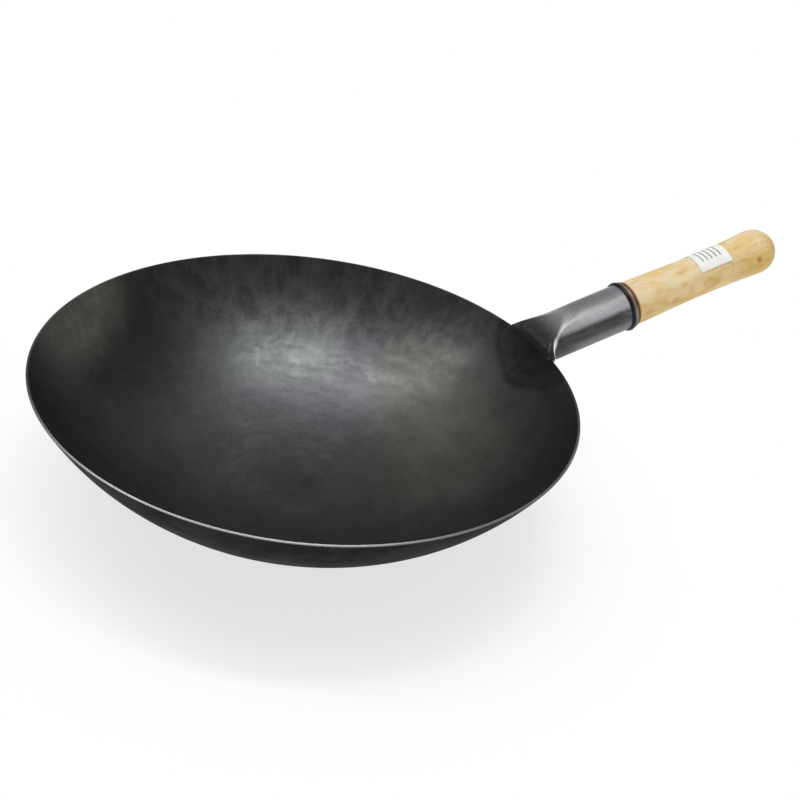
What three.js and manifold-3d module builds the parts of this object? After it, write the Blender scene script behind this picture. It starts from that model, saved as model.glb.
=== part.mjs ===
// Round-bottomed steel wok with a hollow steel handle socket and a turned wooden grip.
// Millimetres, +Z up. The origin is the centre of the small flat under the bowl.
// The handle points along +X and rises outwards from the rim.

import * as THREE from 'three';
import { mergeVertices } from 'three/addons/utils/BufferGeometryUtils.js';
import Module from 'manifold-3d';

// Gap kept between pieces that seat on each other
const CLEARANCE = 0.3;

// Bowl: one pressing of even sheet
const RIM_RADIUS = 178;
const BOWL_DEPTH = 92;
const RIM_WALL_DEGREES = 59;
const BOWL_SHEET = 1.6;
const BASE_FLAT_RADIUS = 22;

// Handle axis: its slope, and its height above the rim where it crosses the rim
const HANDLE_RISE_DEGREES = 15.2;
const HANDLE_LIFT = 1.4;

// Socket: a tube whose top is pressed down to the rim at its inner end
const SOCKET_RADIUS = 16.6;
const SOCKET_SHEET = 1.5;
const SOCKET_LENGTH = 72.3;
const PRESS_LENGTH = 40;
const PRESS_END_HEIGHT = 0.2;

// Weld in the corner between the tube and the bowl: its reach over both, its height on the pressed top
const WELD_REACH = 6.5;
const WELD_PROUD = 1.2;

// Collar ring over the socket's mouth: a bead, then a neck that meets the grip
const COLLAR_OVERLAP = 2.3;
const COLLAR_LIP = 0.9;
const COLLAR_WALL = 0.5;
const COLLAR_BEAD_HEIGHT = 0.8;
const COLLAR_NECK_LENGTH = 2.3;
const COLLAR_NECK_PROUD = 1;

// Grip: a tenon inside the socket, then a waisted body with a rounded end
const TENON_FROM_PRESS = 3;
const TENON_CHAMFER = 1.5;
const GRIP_LENGTH = 129;
const GRIP_INSET = 0.4;
const GRIP_SHOULDER_CHAMFER = 0.8;
const GRIP_WAIST_AT = 64;
const GRIP_WAIST_DEPTH = 1.3;
const GRIP_BULB_RISE = 0.2;
const GRIP_END_LENGTH = 17;

// Screw through the socket into the tenon, on the lower side away from the label
const SCREW_FROM_MOUTH = 18;
const SCREW_TURN_DEGREES = 150;
const SCREW_RADIUS = 1.8;
const SCREW_HEAD_RADIUS = 3.6;
const SCREW_HEAD_HEIGHT = 1.8;
const SCREW_BITE = 10;

// Paper label wrapped over the top of the grip
const LABEL_FROM_SHOULDER = 58;
const LABEL_LENGTH = 26.5;
const LABEL_WIDTH = 26;
const LABEL_TURN_DEGREES = -3;
const LABEL_SHEET = 0.3;

// Mesh fineness
const BOWL_SIDES = 72;
const BOWL_STEPS = 12;
const TUBE_SIDES = 36;
const PRESS_STEPS = 14;
const WELD_STEPS = 4;
const GRIP_STEPS = 10;
const LABEL_STEPS = 5;
const END_STEPS = 6;
const SMALL_SIDES = 16;

const wasm = await Module();
wasm.setup();

const degrees = THREE.MathUtils.degToRad;
const point = (x, y) => new THREE.Vector2(x, y);

// Closed three.js geometry to a solid that can be joined and cut
function toSolid(geometry) {
  const plain = geometry.clone();
  plain.deleteAttribute('normal');
  plain.deleteAttribute('uv');
  const merged = mergeVertices(plain, 1e-4);
  const vertProperties = new Float32Array(merged.attributes.position.array);
  const triVerts = new Uint32Array(merged.index.array);
  return new wasm.Manifold(new wasm.Mesh({ numProp: 3, vertProperties, triVerts }));
}

// Solid back to a three.js geometry
function toGeometry(solid) {
  const mesh = solid.getMesh();
  const geometry = new THREE.BufferGeometry();
  geometry.setAttribute('position', new THREE.BufferAttribute(mesh.vertProperties, 3));
  geometry.setIndex(new THREE.BufferAttribute(mesh.triVerts, 1));
  geometry.computeVertexNormals();
  return geometry;
}

// Closed profile of (radius, height) points turned about +Z, listed up the outside and down the inside
function turned(profile, sides) {
  return new THREE.LatheGeometry(profile, sides).rotateX(Math.PI / 2);
}

// The same, turned about the handle's axis: heights become distances along +X
function turnedAlongHandle(profile, sides) {
  return turned(profile, sides).rotateY(Math.PI / 2);
}

// Closed skin through rings of equally many points, with a flat fan over each end
function lofted(rings) {
  const count = rings[0].length;
  const corners = rings.flat();
  const first = corners.length;
  const last = first + 1;
  const middle = (ring) => ring.reduce((sum, p) => sum.add(p), new THREE.Vector3()).divideScalar(count);
  corners.push(middle(rings[0]), middle(rings[rings.length - 1]));
  const faces = [];
  for (let i = 0; i + 1 < rings.length; i += 1) {
    for (let j = 0; j < count; j += 1) {
      const a = i * count + j;
      const b = i * count + ((j + 1) % count);
      faces.push(a, b, a + count);
      faces.push(b, b + count, a + count);
    }
  }
  const top = (rings.length - 1) * count;
  for (let j = 0; j < count; j += 1) {
    const next = (j + 1) % count;
    faces.push(first, next, j);
    faces.push(last, top + j, top + next);
  }
  return new THREE.BufferGeometry().setFromPoints(corners).setIndex(faces);
}

// Bowl profile: part of an ellipse, flat at its lowest point and at RIM_WALL_DEGREES at the rim
const wallSlope = Math.tan(degrees(RIM_WALL_DEGREES));
const rimTurn = Math.acos(1 / (wallSlope * RIM_RADIUS / BOWL_DEPTH - 1));
const ellipseAcross = RIM_RADIUS / Math.sin(rimTurn);
const ellipseDown = BOWL_DEPTH / (1 - Math.cos(rimTurn));
const flatTurn = Math.asin(BASE_FLAT_RADIUS / ellipseAcross);
const flatSag = ellipseDown * (1 - Math.cos(flatTurn));
const rimHeight = BOWL_DEPTH - flatSag;

// Point of the bowl's wall, moved outwards along the wall's normal
function wallPoint(turn, outwards) {
  const normal = point(ellipseDown * Math.sin(turn), -ellipseAcross * Math.cos(turn)).normalize();
  const height = ellipseDown * (1 - Math.cos(turn)) - flatSag;
  return point(ellipseAcross * Math.sin(turn), height).addScaledVector(normal, outwards);
}

// Wall from the flat to the rim
function wallLine(outwards) {
  const line = [];
  for (let i = 0; i <= BOWL_STEPS; i += 1) {
    line.push(wallPoint(THREE.MathUtils.lerp(flatTurn, rimTurn, i / BOWL_STEPS), outwards));
  }
  return line;
}

function bowlGeometry() {
  const outside = wallLine(0);
  const inside = wallLine(-BOWL_SHEET).reverse();
  const floor = inside[inside.length - 1].y;
  return turned([point(0, 0), ...outside, ...inside, point(0, floor)], BOWL_SIDES);
}

// Everything inside the bowl's outer face, and the space straight above the rim, grown by a gap
function bowlSpace(gap) {
  const outside = wallLine(gap);
  const edge = outside[outside.length - 1];
  const top = rimHeight + HANDLE_LIFT + 2 * SOCKET_RADIUS;
  const profile = [point(0, outside[0].y), ...outside, point(edge.x, top), point(0, top)];
  return toSolid(turned(profile, BOWL_SIDES));
}

// Handle frame: X along the axis from the rim outwards, Z up from the axis
const handlePlace = new THREE.Group();
handlePlace.position.set(RIM_RADIUS, 0, rimHeight + HANDLE_LIFT);
handlePlace.rotation.y = -degrees(HANDLE_RISE_DEGREES);
handlePlace.updateMatrix();

// Height of the pressed top over the axis, at a distance along it
function pressedTop(along) {
  const left = 1 - THREE.MathUtils.clamp(along / PRESS_LENGTH, 0, 1);
  return THREE.MathUtils.lerp(SOCKET_RADIUS, PRESS_END_HEIGHT, left ** 3);
}

// Ring of the socket's skin at a distance along the axis, grown all round and over the pressed top:
// an arc round the bottom and both sides, closed by a straight line over the top
function socketRing(along, growth, topGrowth) {
  const radius = SOCKET_RADIUS + growth;
  const roundTop = Math.PI / 2 - Math.PI / TUBE_SIDES;
  const height = Math.min(pressedTop(along) + topGrowth, radius * Math.sin(roundTop));
  const crease = Math.asin(height / radius);
  const ring = [];
  for (let j = 0; j < TUBE_SIDES; j += 1) {
    const angle = Math.PI - crease + (Math.PI + 2 * crease) * j / (TUBE_SIDES - 1);
    ring.push(new THREE.Vector3(along, radius * Math.cos(angle), radius * Math.sin(angle)));
  }
  return ring;
}

// Socket's skin, placed on the bowl, from well inside the rim to a distance along the axis
function socketSkin(end, growth, topGrowth = growth) {
  const rings = [socketRing(-2 * SOCKET_RADIUS, growth, topGrowth)];
  for (let i = 0; i <= PRESS_STEPS; i += 1) {
    rings.push(socketRing(PRESS_LENGTH * i / PRESS_STEPS, growth, topGrowth));
  }
  rings.push(socketRing(end, growth, topGrowth));
  return toSolid(lofted(rings).applyMatrix4(handlePlace.matrix));
}

// Screw frame: Z out from the handle's axis through the screw
const screwFrame = new THREE.Group();
screwFrame.position.x = SOCKET_LENGTH - SCREW_FROM_MOUTH;
screwFrame.rotation.x = -degrees(SCREW_TURN_DEGREES);
screwFrame.updateMatrix();

// Distances of the screw's tip and of its head's seat from the handle's axis
const screwTip = SOCKET_RADIUS - SOCKET_SHEET - SCREW_BITE;
const screwSeat = SOCKET_RADIUS + CLEARANCE;

// Hole for the screw, from below its tip to outside the socket
function screwHole() {
  const bottom = screwTip - CLEARANCE;
  const depth = screwSeat - bottom;
  const radius = SCREW_RADIUS + CLEARANCE;
  const hole = new THREE.CylinderGeometry(radius, radius, depth, SMALL_SIDES).rotateX(Math.PI / 2);
  return hole.translate(0, 0, bottom + depth / 2).applyMatrix4(screwFrame.matrix);
}

function socketGeometry() {
  const hollow = socketSkin(SOCKET_LENGTH + SOCKET_SHEET, -SOCKET_SHEET);
  const hole = toSolid(screwHole().applyMatrix4(handlePlace.matrix));
  const tube = socketSkin(SOCKET_LENGTH, 0).subtract(hollow).subtract(hole);
  return toGeometry(tube.subtract(bowlSpace(CLEARANCE)));
}

// Bead all round the tube's inner end, in layers that reach less far over the bowl as they stand off it
function weldGeometry() {
  const layers = [];
  for (let i = 0; i < WELD_STEPS; i += 1) {
    const overBowl = WELD_REACH * (1 - i / WELD_STEPS);
    const overTube = WELD_REACH * (i + 1) / WELD_STEPS;
    const sleeve = socketSkin(SOCKET_LENGTH, overBowl, WELD_PROUD);
    layers.push(sleeve.intersect(bowlSpace(overTube)));
  }
  const tube = socketSkin(SOCKET_LENGTH + WELD_REACH, CLEARANCE);
  const bead = wasm.Manifold.union(layers).subtract(tube);
  return toGeometry(bead.subtract(bowlSpace(CLEARANCE)));
}

const tenonRadius = SOCKET_RADIUS - SOCKET_SHEET - CLEARANCE;
const shoulderRadius = SOCKET_RADIUS - GRIP_INSET;
const collarStart = SOCKET_LENGTH - COLLAR_OVERLAP;
const step = SOCKET_LENGTH + CLEARANCE;
const neckStart = step + COLLAR_LIP;
const collarEnd = neckStart + COLLAR_NECK_LENGTH;
const shoulder = collarEnd + CLEARANCE;

// Ring that sits over the mouth and butts on the tube's end, with a bead over it and a plain neck
function collarGeometry() {
  const overTube = SOCKET_RADIUS + CLEARANCE;
  const overTenon = tenonRadius + CLEARANCE;
  const side = overTube + COLLAR_WALL;
  const neck = shoulderRadius + COLLAR_NECK_PROUD;
  const bead = new THREE.QuadraticBezierCurve(
    point(side, collarStart),
    point(side + 2 * COLLAR_BEAD_HEIGHT, (collarStart + neckStart) / 2),
    point(side, neckStart),
  );
  const outside = [point(overTube, collarStart), ...bead.getPoints(END_STEPS)];
  const rest = [point(neck, neckStart), point(neck, collarEnd)];
  const bore = [point(overTenon, collarEnd), point(overTenon, step), point(overTube, step)];
  return turnedAlongHandle([...outside, ...rest, ...bore, outside[0]], TUBE_SIDES);
}

const bulbRadius = shoulderRadius + GRIP_BULB_RISE;
const bulbAt = GRIP_LENGTH - GRIP_END_LENGTH;

// Side of the grip's body, from the shoulder through the waist to the bulb
const gripSide = new THREE.SplineCurve([
  point(shoulderRadius, shoulder + GRIP_SHOULDER_CHAMFER),
  point(shoulderRadius - GRIP_WAIST_DEPTH, shoulder + GRIP_WAIST_AT),
  point(bulbRadius, shoulder + bulbAt),
]);

// Rounded end: a quarter of an ellipse
function gripEnd() {
  const line = [];
  for (let i = 1; i < END_STEPS; i += 1) {
    const angle = Math.PI / 2 * i / END_STEPS;
    line.push(point(bulbRadius * Math.cos(angle), shoulder + bulbAt + GRIP_END_LENGTH * Math.sin(angle)));
  }
  return [...line, point(0, shoulder + GRIP_LENGTH)];
}

function gripGeometry() {
  const tenonStart = PRESS_LENGTH + TENON_FROM_PRESS;
  const tenon = [
    point(0, tenonStart),
    point(tenonRadius - TENON_CHAMFER, tenonStart),
    point(tenonRadius, tenonStart + TENON_CHAMFER),
    point(tenonRadius, shoulder),
  ];
  const edge = point(shoulderRadius - GRIP_SHOULDER_CHAMFER, shoulder);
  const body = [edge, ...gripSide.getPoints(GRIP_STEPS), ...gripEnd()];
  const grip = toSolid(turnedAlongHandle([...tenon, ...body], TUBE_SIDES));
  return toGeometry(grip.subtract(toSolid(screwHole())));
}

// Domed head outside the socket, shank into the tenon, along +Z
function screwGeometry() {
  const top = screwSeat + SCREW_HEAD_HEIGHT;
  const dome = new THREE.QuadraticBezierCurve(
    point(SCREW_HEAD_RADIUS, screwSeat),
    point(SCREW_HEAD_RADIUS, top),
    point(0, top),
  );
  const shank = [
    point(0, screwTip),
    point(SCREW_RADIUS, screwTip + SCREW_RADIUS),
    point(SCREW_RADIUS, screwSeat),
  ];
  return turned([...shank, ...dome.getPoints(END_STEPS)], SMALL_SIDES);
}

// Radius of the grip's side at a distance along the handle
function gripRadius(along) {
  const line = gripSide.getPoints(GRIP_STEPS);
  const next = line.findIndex((p) => p.y >= along);
  const [before, after] = [line[next - 1], line[next]];
  return THREE.MathUtils.mapLinear(along, before.y, after.y, before.x, after.x);
}

// Wedge from the handle's axis, as wide as the label, with its middle at the label's turn
function labelWedge() {
  const halfTurn = LABEL_WIDTH / shoulderRadius / 2;
  const reach = 2 * shoulderRadius;
  const side = point(reach * Math.sin(halfTurn), reach * Math.cos(halfTurn));
  const sector = new THREE.Shape([point(0, 0), side, point(0, reach), point(-side.x, side.y)]);
  const wedge = new THREE.ExtrudeGeometry(sector, { depth: GRIP_LENGTH, bevelEnabled: false });
  wedge.rotateX(Math.PI / 2).rotateZ(Math.PI / 2).translate(shoulder, 0, 0);
  return wedge.rotateX(-degrees(LABEL_TURN_DEGREES));
}

// Sheet that follows the grip's side, cut out of a ring by the wedge
function labelGeometry() {
  const over = [];
  const under = [];
  for (let i = 0; i <= LABEL_STEPS; i += 1) {
    const along = shoulder + LABEL_FROM_SHOULDER + LABEL_LENGTH * i / LABEL_STEPS;
    const seat = gripRadius(along) + CLEARANCE;
    over.push(point(seat + LABEL_SHEET, along));
    under.unshift(point(seat, along));
  }
  const ring = toSolid(turnedAlongHandle([...over, ...under, over[0]], TUBE_SIDES));
  return toGeometry(ring.intersect(toSolid(labelWedge())));
}

const darkSteel = { color: 0x33353a, roughness: 0.42, metalness: 0.9 };
const satinSteel = { color: 0x7d7d84, roughness: 0.38, metalness: 0.95 };
const weldSteel = { color: 0x4a4a4d, roughness: 0.6, metalness: 0.85 };
const blackSteel = { color: 0x24242a, roughness: 0.4, metalness: 0.8 };
const zincSteel = { color: 0xa8a8a4, roughness: 0.35, metalness: 0.9 };
const paleWood = { color: 0xdcbf8a, roughness: 0.55, metalness: 0 };
const whitePaper = { color: 0xf2f2ee, roughness: 0.7, metalness: 0 };

// Named mesh of one piece
function piece(name, geometry, finish) {
  const mesh = new THREE.Mesh(geometry, new THREE.MeshStandardMaterial(finish));
  mesh.name = name;
  return mesh;
}

const wok = new THREE.Group();
wok.add(piece('bowl', bowlGeometry(), darkSteel));
wok.add(piece('handle_socket', socketGeometry(), satinSteel));
wok.add(piece('foot_weld', weldGeometry(), weldSteel));

handlePlace.add(piece('collar_ring', collarGeometry(), blackSteel));
handlePlace.add(piece('wooden_grip', gripGeometry(), paleWood));
handlePlace.add(piece('paper_label', labelGeometry(), whitePaper));
screwFrame.add(piece('grip_screw', screwGeometry(), zincSteel));
handlePlace.add(screwFrame);
wok.add(handlePlace);

export default wok;
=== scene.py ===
"""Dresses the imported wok: a dark steel bowl, a welded steel handle socket and a turned wooden grip.

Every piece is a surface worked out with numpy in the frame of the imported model, in metres:
the origin is the centre of the small flat under the bowl, +Z is up and the handle points along +X.
"""

import logging
import math
from collections.abc import Callable
from dataclasses import dataclass, field
from enum import Enum

import bpy
import numpy as np
from mathutils import Matrix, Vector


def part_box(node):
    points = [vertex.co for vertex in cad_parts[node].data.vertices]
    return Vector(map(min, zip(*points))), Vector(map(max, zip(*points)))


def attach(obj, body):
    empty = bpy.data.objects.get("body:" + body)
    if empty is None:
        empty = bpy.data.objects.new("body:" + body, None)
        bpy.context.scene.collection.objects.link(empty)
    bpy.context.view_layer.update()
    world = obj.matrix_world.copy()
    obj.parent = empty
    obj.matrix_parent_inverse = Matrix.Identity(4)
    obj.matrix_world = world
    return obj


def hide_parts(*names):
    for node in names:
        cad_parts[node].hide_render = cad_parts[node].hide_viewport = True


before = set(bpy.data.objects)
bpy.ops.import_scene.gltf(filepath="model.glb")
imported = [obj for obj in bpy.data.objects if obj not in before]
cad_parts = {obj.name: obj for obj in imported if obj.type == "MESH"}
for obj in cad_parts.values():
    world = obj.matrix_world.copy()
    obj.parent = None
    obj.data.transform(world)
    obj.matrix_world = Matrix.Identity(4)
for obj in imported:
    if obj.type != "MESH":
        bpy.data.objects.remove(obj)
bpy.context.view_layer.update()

BODY = "root"
LOG = logging.getLogger("wok")

Array = np.ndarray
Plug = bpy.types.NodeSocket
Place = tuple[float, float, float]
Colour = Place
PaintedPatch = tuple[Place, float, float]
Mark = tuple[Place, Place, float, float]

NOISE_LOW, NOISE_MIDDLE, NOISE_HIGH = 0.3, 0.5, 0.7


class Node(Enum):
    """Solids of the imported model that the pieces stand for."""

    BOWL = "bowl"
    SOCKET = "handle_socket"
    WELD = "foot_weld"
    COLLAR = "collar_ring"
    GRIP = "wooden_grip"
    SCREW = "grip_screw"
    LABEL = "paper_label"


class Slot(Enum):
    """Names of the material slots."""

    BOWL = "bowl_steel"
    SOCKET = "socket_steel"
    WELD = "weld_steel"
    COLLAR = "collar_steel"
    GRIP = "grip_wood"
    SCREW = "screw_steel"
    LABEL = "label_paper"


def ease(values: Array, low: float, high: float) -> Array:
    """Ease from 0 to 1 between two values: t * t * (3 - 2 * t), with t held between 0 and 1.

    Args:
        values: Where to evaluate it.
        low: Value at which the ease is 0.
        high: Value at which the ease is 1.

    Returns:
        The eased shares, of the shape of values.
    """
    t = np.clip((values - low) / (high - low), 0.0, 1.0)
    return t * t * (3.0 - 2.0 * t)


def lerp(first: float, last: float, share: Array) -> Array:
    """Straight line between two values."""
    return first + (last - first) * share


def unit(vectors: Array) -> Array:
    """Vectors at length 1, along the last axis."""
    return vectors / np.linalg.norm(vectors, axis=-1, keepdims=True)


def angles(count: int) -> Array:
    """Even angles round a full turn, from 0."""
    return 2.0 * np.pi * np.arange(count) / count


def add_object(name: str, data: bpy.types.ID) -> bpy.types.Object:
    """Make an object and link it to the scene.

    Args:
        name: Name of the object.
        data: Its mesh, lamp or camera.

    Returns:
        The object.
    """
    made = bpy.data.objects.new(name, data)
    bpy.context.scene.collection.objects.link(made)
    return made


def mark_points(piece: bpy.types.Object, name: str, values: Array) -> None:
    """Store one number for each point of a piece, as an attribute.

    Args:
        piece: The piece.
        name: Name of the attribute.
        values: Numbers, in the order of the points.
    """
    layer = piece.data.attributes.new(name, "FLOAT", "POINT")
    layer.data.foreach_set("value", values.astype(np.float32).ravel())


@dataclass
class Surface:
    """Points and faces of one piece, gathered patch by patch.

    Attributes:
        points: Patches of points, each of shape (n, 3).
        faces: Patches of faces, each of shape (m, 3) or (m, 4).
        count: Number of points so far.
    """

    points: list[Array] = field(default_factory=list)
    faces: list[Array] = field(default_factory=list)
    count: int = 0

    def add(self, points: Array) -> int:
        """Add points.

        Args:
            points: Points of shape (..., 3).

        Returns:
            Index of the first of them.
        """
        flat = points.reshape(-1, 3)
        first = self.count
        self.points.append(flat)
        self.count += len(flat)
        return first

    def skin(self, rows: Array, looped: bool = False) -> int:
        """Join rows of points by quads; each row closes on itself.

        A quad holds points (i, j), (i, j + 1), (i + 1, j + 1) and (i + 1, j), so it faces outwards
        where the rows turn right-handed about the direction from one row to the next.

        Args:
            rows: Points of shape (rows, columns, 3).
            looped: Whether the last row joins the first.

        Returns:
            Index of the first point.
        """
        count, columns = rows.shape[:2]
        first = self.add(rows)
        i = np.arange(count if looped else count - 1)[:, None]
        j = np.arange(columns)[None, :]
        below, above = i * columns, (i + 1) % count * columns
        after = (j + 1) % columns
        quads = np.stack([below + j, below + after, above + after, above + j], axis=-1)
        self.faces.append(first + quads.reshape(-1, 4))
        return first

    def cap(self, ring: int, columns: int, tip: Array, start: bool) -> None:
        """Close a row with a fan of triangles to one point.

        Args:
            ring: Index of the row's first point.
            columns: Number of points in the row.
            tip: The point.
            start: Whether the row is the first of its skin, so that the fan faces backwards.
        """
        pole = self.add(tip)
        j = np.arange(columns)
        near, after = ring + j, ring + (j + 1) % columns
        pair = (after, near) if start else (near, after)
        self.faces.append(np.stack([np.full(columns, pole), *pair], axis=-1))

    def turn(self, along: Array, radius: Array, sides: int, looped: bool = False) -> None:
        """Turn a profile about +X: point (s, r cos a, r sin a) for each angle a.

        A profile that isn't looped starts and ends on the axis, where one point closes it.

        Args:
            along: Distances s along the axis, up the outside and down the inside.
            radius: Radii r there.
            sides: Number of angles.
            looped: Whether the profile closes on itself.
        """
        angle = angles(sides)
        body = slice(None) if looped else slice(1, -1)
        s, r = along[body, None], radius[body, None]
        rows = np.stack([s + 0.0 * angle, r * np.cos(angle), r * np.sin(angle)], axis=-1)
        first = self.skin(rows, looped)
        if not looped:
            self.cap(first, sides, np.array([along[0], 0.0, 0.0]), True)
            self.cap(first + (len(rows) - 1) * sides, sides, np.array([along[-1], 0.0, 0.0]), False)

    def sheet(self, grid: Array) -> int:
        """Join an open grid of points by quads, facing e_j x e_i.

        Args:
            grid: Points of shape (rows, columns, 3).

        Returns:
            Index of the first point.
        """
        count, columns = grid.shape[:2]
        first = self.add(grid)
        at = first + np.arange(count * columns).reshape(count, columns)
        corners = [at[:-1, :-1], at[:-1, 1:], at[1:, 1:], at[1:, :-1]]
        self.faces.append(np.stack(corners, axis=-1).reshape(-1, 4))
        return first

    def move(self, way: Callable[[Array], Array]) -> None:
        """Carry every point by a function of points."""
        self.points = [way(patch) for patch in self.points]

    def piece(self, node: Node, crease_degrees: float = 40.0) -> bpy.types.Object:
        """Make the mesh object, at the origin.

        Args:
            node: Solid that the piece stands for; the piece is named after it.
            crease_degrees: Edges sharper than this stay sharp.

        Returns:
            The object, linked to the scene.
        """
        points = np.concatenate(self.points)
        corners = np.concatenate([patch.ravel() for patch in self.faces])
        sizes = np.concatenate([np.full(len(patch), patch.shape[1]) for patch in self.faces])
        name = f"{node.value}_fine"
        mesh = bpy.data.meshes.new(name)
        mesh.vertices.add(len(points))
        mesh.vertices.foreach_set("co", points.astype(np.float32).ravel())
        mesh.loops.add(len(corners))
        mesh.loops.foreach_set("vertex_index", corners.astype(np.int32))
        mesh.polygons.add(len(sizes))
        starts = np.concatenate([[0], np.cumsum(sizes)[:-1]])
        mesh.polygons.foreach_set("loop_start", starts.astype(np.int32))
        mesh.polygons.foreach_set("use_smooth", np.ones(len(sizes), dtype=bool))
        mesh.update(calc_edges=True)
        mesh.validate()
        mesh.set_sharp_from_angle(angle=math.radians(crease_degrees))
        return add_object(name, mesh)


class Wiring:
    """Adds and links the nodes of one material.

    Attributes:
        material: The material.
        tree: Its node tree.
        shader: Its surface shader.
    """

    def __init__(self, name: str) -> None:
        """Start a material with one Principled shader.

        Args:
            name: Name of the material.
        """
        self.material = bpy.data.materials.new(name)
        self.material.use_nodes = True
        self.tree = self.material.node_tree
        self.shader = self.tree.nodes["Principled BSDF"]

    def node(self, kind: str, **settings: object) -> bpy.types.Node:
        """Add a node.

        Args:
            kind: Its kind, without the common start of the kinds' names.
            **settings: Properties to set on it.

        Returns:
            The node.
        """
        made = self.tree.nodes.new(f"ShaderNode{kind}")
        for key, value in settings.items():
            setattr(made, key, value)
        return made

    def put(self, socket: Plug, value: object) -> None:
        """Link a socket to another, or set it to a constant.

        Args:
            socket: Socket that takes the value.
            value: A socket or a constant.
        """
        if isinstance(value, Plug):
            self.tree.links.new(value, socket)
        else:
            socket.default_value = value

    def fill(self, made: bpy.types.Node, *values: object, **named: object) -> bpy.types.Node:
        """Fill a node's sockets.

        Args:
            made: The node.
            *values: Sockets or constants for its first sockets, in order.
            **named: Sockets or constants by the names of its sockets, with underscores for spaces.

        Returns:
            The node.
        """
        for socket, value in zip(made.inputs, values):
            self.put(socket, value)
        for key, value in named.items():
            self.put(made.inputs[key.replace("_", " ")], value)
        return made

    def set(self, **values: object) -> None:
        """Set the shader's sockets, named with underscores for spaces."""
        self.fill(self.shader, **values)

    def place(self) -> Plug:
        """Object coordinates, which are the frame's own metres."""
        return self.node("TexCoord").outputs["Object"]

    def attribute(self, name: str) -> Plug:
        """Numbers that a piece stores for its points."""
        return self.node("Attribute", attribute_name=name).outputs["Fac"]

    def maths(self, operation: str, *values: object) -> Plug:
        """One Math node."""
        return self.fill(self.node("Math", operation=operation), *values).outputs[0]

    def times(self, first: object, second: object) -> Plug:
        """Product of two numbers."""
        return self.maths("MULTIPLY", first, second)

    def plus(self, first: object, second: object) -> Plug:
        """Sum of two numbers."""
        return self.maths("ADD", first, second)

    def shaken(self, value: Plug, noise: Plug, amount: float) -> Plug:
        """A number moved by noise: value + amount * (noise - middle of the noise)."""
        return self.maths("MULTIPLY_ADD", self.maths("SUBTRACT", noise, NOISE_MIDDLE), amount, value)

    def vectors(self, operation: str, *values: object) -> Plug:
        """One Vector Math node; LENGTH, DISTANCE and DOT_PRODUCT give a number, the rest a vector."""
        single = operation in ("LENGTH", "DISTANCE", "DOT_PRODUCT")
        made = self.fill(self.node("VectorMath", operation=operation), *values)
        return made.outputs["Value" if single else "Vector"]

    def scaled(self, vector: object, factor: object) -> Plug:
        """A vector or colour times a number."""
        return self.fill(self.node("VectorMath", operation="SCALE"), vector, Scale=factor).outputs[0]

    def parts(self, vector: Plug) -> tuple[Plug, Plug, Plug]:
        """X, Y and Z of a vector."""
        made = self.fill(self.node("SeparateXYZ"), vector)
        return made.outputs[0], made.outputs[1], made.outputs[2]

    def noise(self, where: Plug, scale: float, detail: float = 3.0, rough: float = 0.55) -> Plug:
        """Cloudy noise about 0.5, with features 1 / scale across and finer layers by detail and rough."""
        made = self.fill(self.node("TexNoise"), Vector=where, Scale=scale, Detail=detail, Roughness=rough)
        return made.outputs[0]

    def stretched(self, where: Plug, scales: Place, detail: float) -> Plug:
        """Noise with features 1 / scale long along each axis."""
        return self.noise(self.vectors("MULTIPLY", where, scales), 1.0, detail)

    def spun(
        self, way: Plug, turns: float, distance: Plug, scale: float, detail: float, rough: float = 0.55
    ) -> Plug:
        """Noise over the direction from an axis and the distance from it, so features follow arcs.

        Args:
            way: Direction from the axis, at length 1.
            turns: Features are 1 / turns of a radian long.
            distance: Distance from the axis.
            scale: Features are 1 / scale wide.
            detail: Number of finer layers.
            rough: Strength of each finer layer.

        Returns:
            The noise.
        """
        out = self.scaled((0.0, 0.0, 1.0), self.times(distance, scale))
        return self.noise(self.vectors("MULTIPLY_ADD", way, (turns, turns, 0.0), out), 1.0, detail, rough)

    def line_noise(self, where: Plug, scale: float, detail: float = 3.0) -> Plug:
        """Noise along one number, with features 1 / scale long."""
        made = self.node("TexNoise", noise_dimensions="1D")
        return self.fill(made, W=where, Scale=scale, Detail=detail).outputs[0]

    def band(self, value: Plug, low: float, high: float, first: float = 0.0, last: float = 1.0) -> Plug:
        """Smooth step of a number from one value at low to another at high."""
        made = self.node("MapRange", interpolation_type="SMOOTHSTEP")
        return self.fill(made, value, low, high, first, last).outputs[0]

    def vary(self, noise: Plug, first: float = 0.0, last: float = 1.0) -> Plug:
        """Smooth step of a noise over most of its range, from one value to another."""
        return self.band(noise, NOISE_LOW, NOISE_HIGH, first, last)

    def blend(self, share: Plug, first: object, second: object) -> Plug:
        """Mix two colours.

        Args:
            share: Share of the second colour.
            first: A socket or a colour.
            second: A socket or a colour.

        Returns:
            The mixed colour.
        """
        made = self.node("Mix", data_type="RGBA")
        self.put(made.inputs[0], share)
        for socket, colour in ((made.inputs[6], first), (made.inputs[7], second)):
            self.put(socket, colour if isinstance(colour, Plug) else (*colour, 1.0))
        return made.outputs[2]

    def bump(self, height: Plug, distance: float, strength: float, under: Plug | None = None) -> Plug:
        """Bump a height map by a depth and its share, over another bump if one is given."""
        below = {} if under is None else {"Normal": under}
        made = self.fill(self.node("Bump"), Height=height, Distance=distance, Strength=strength, **below)
        return made.outputs[0]


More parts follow.
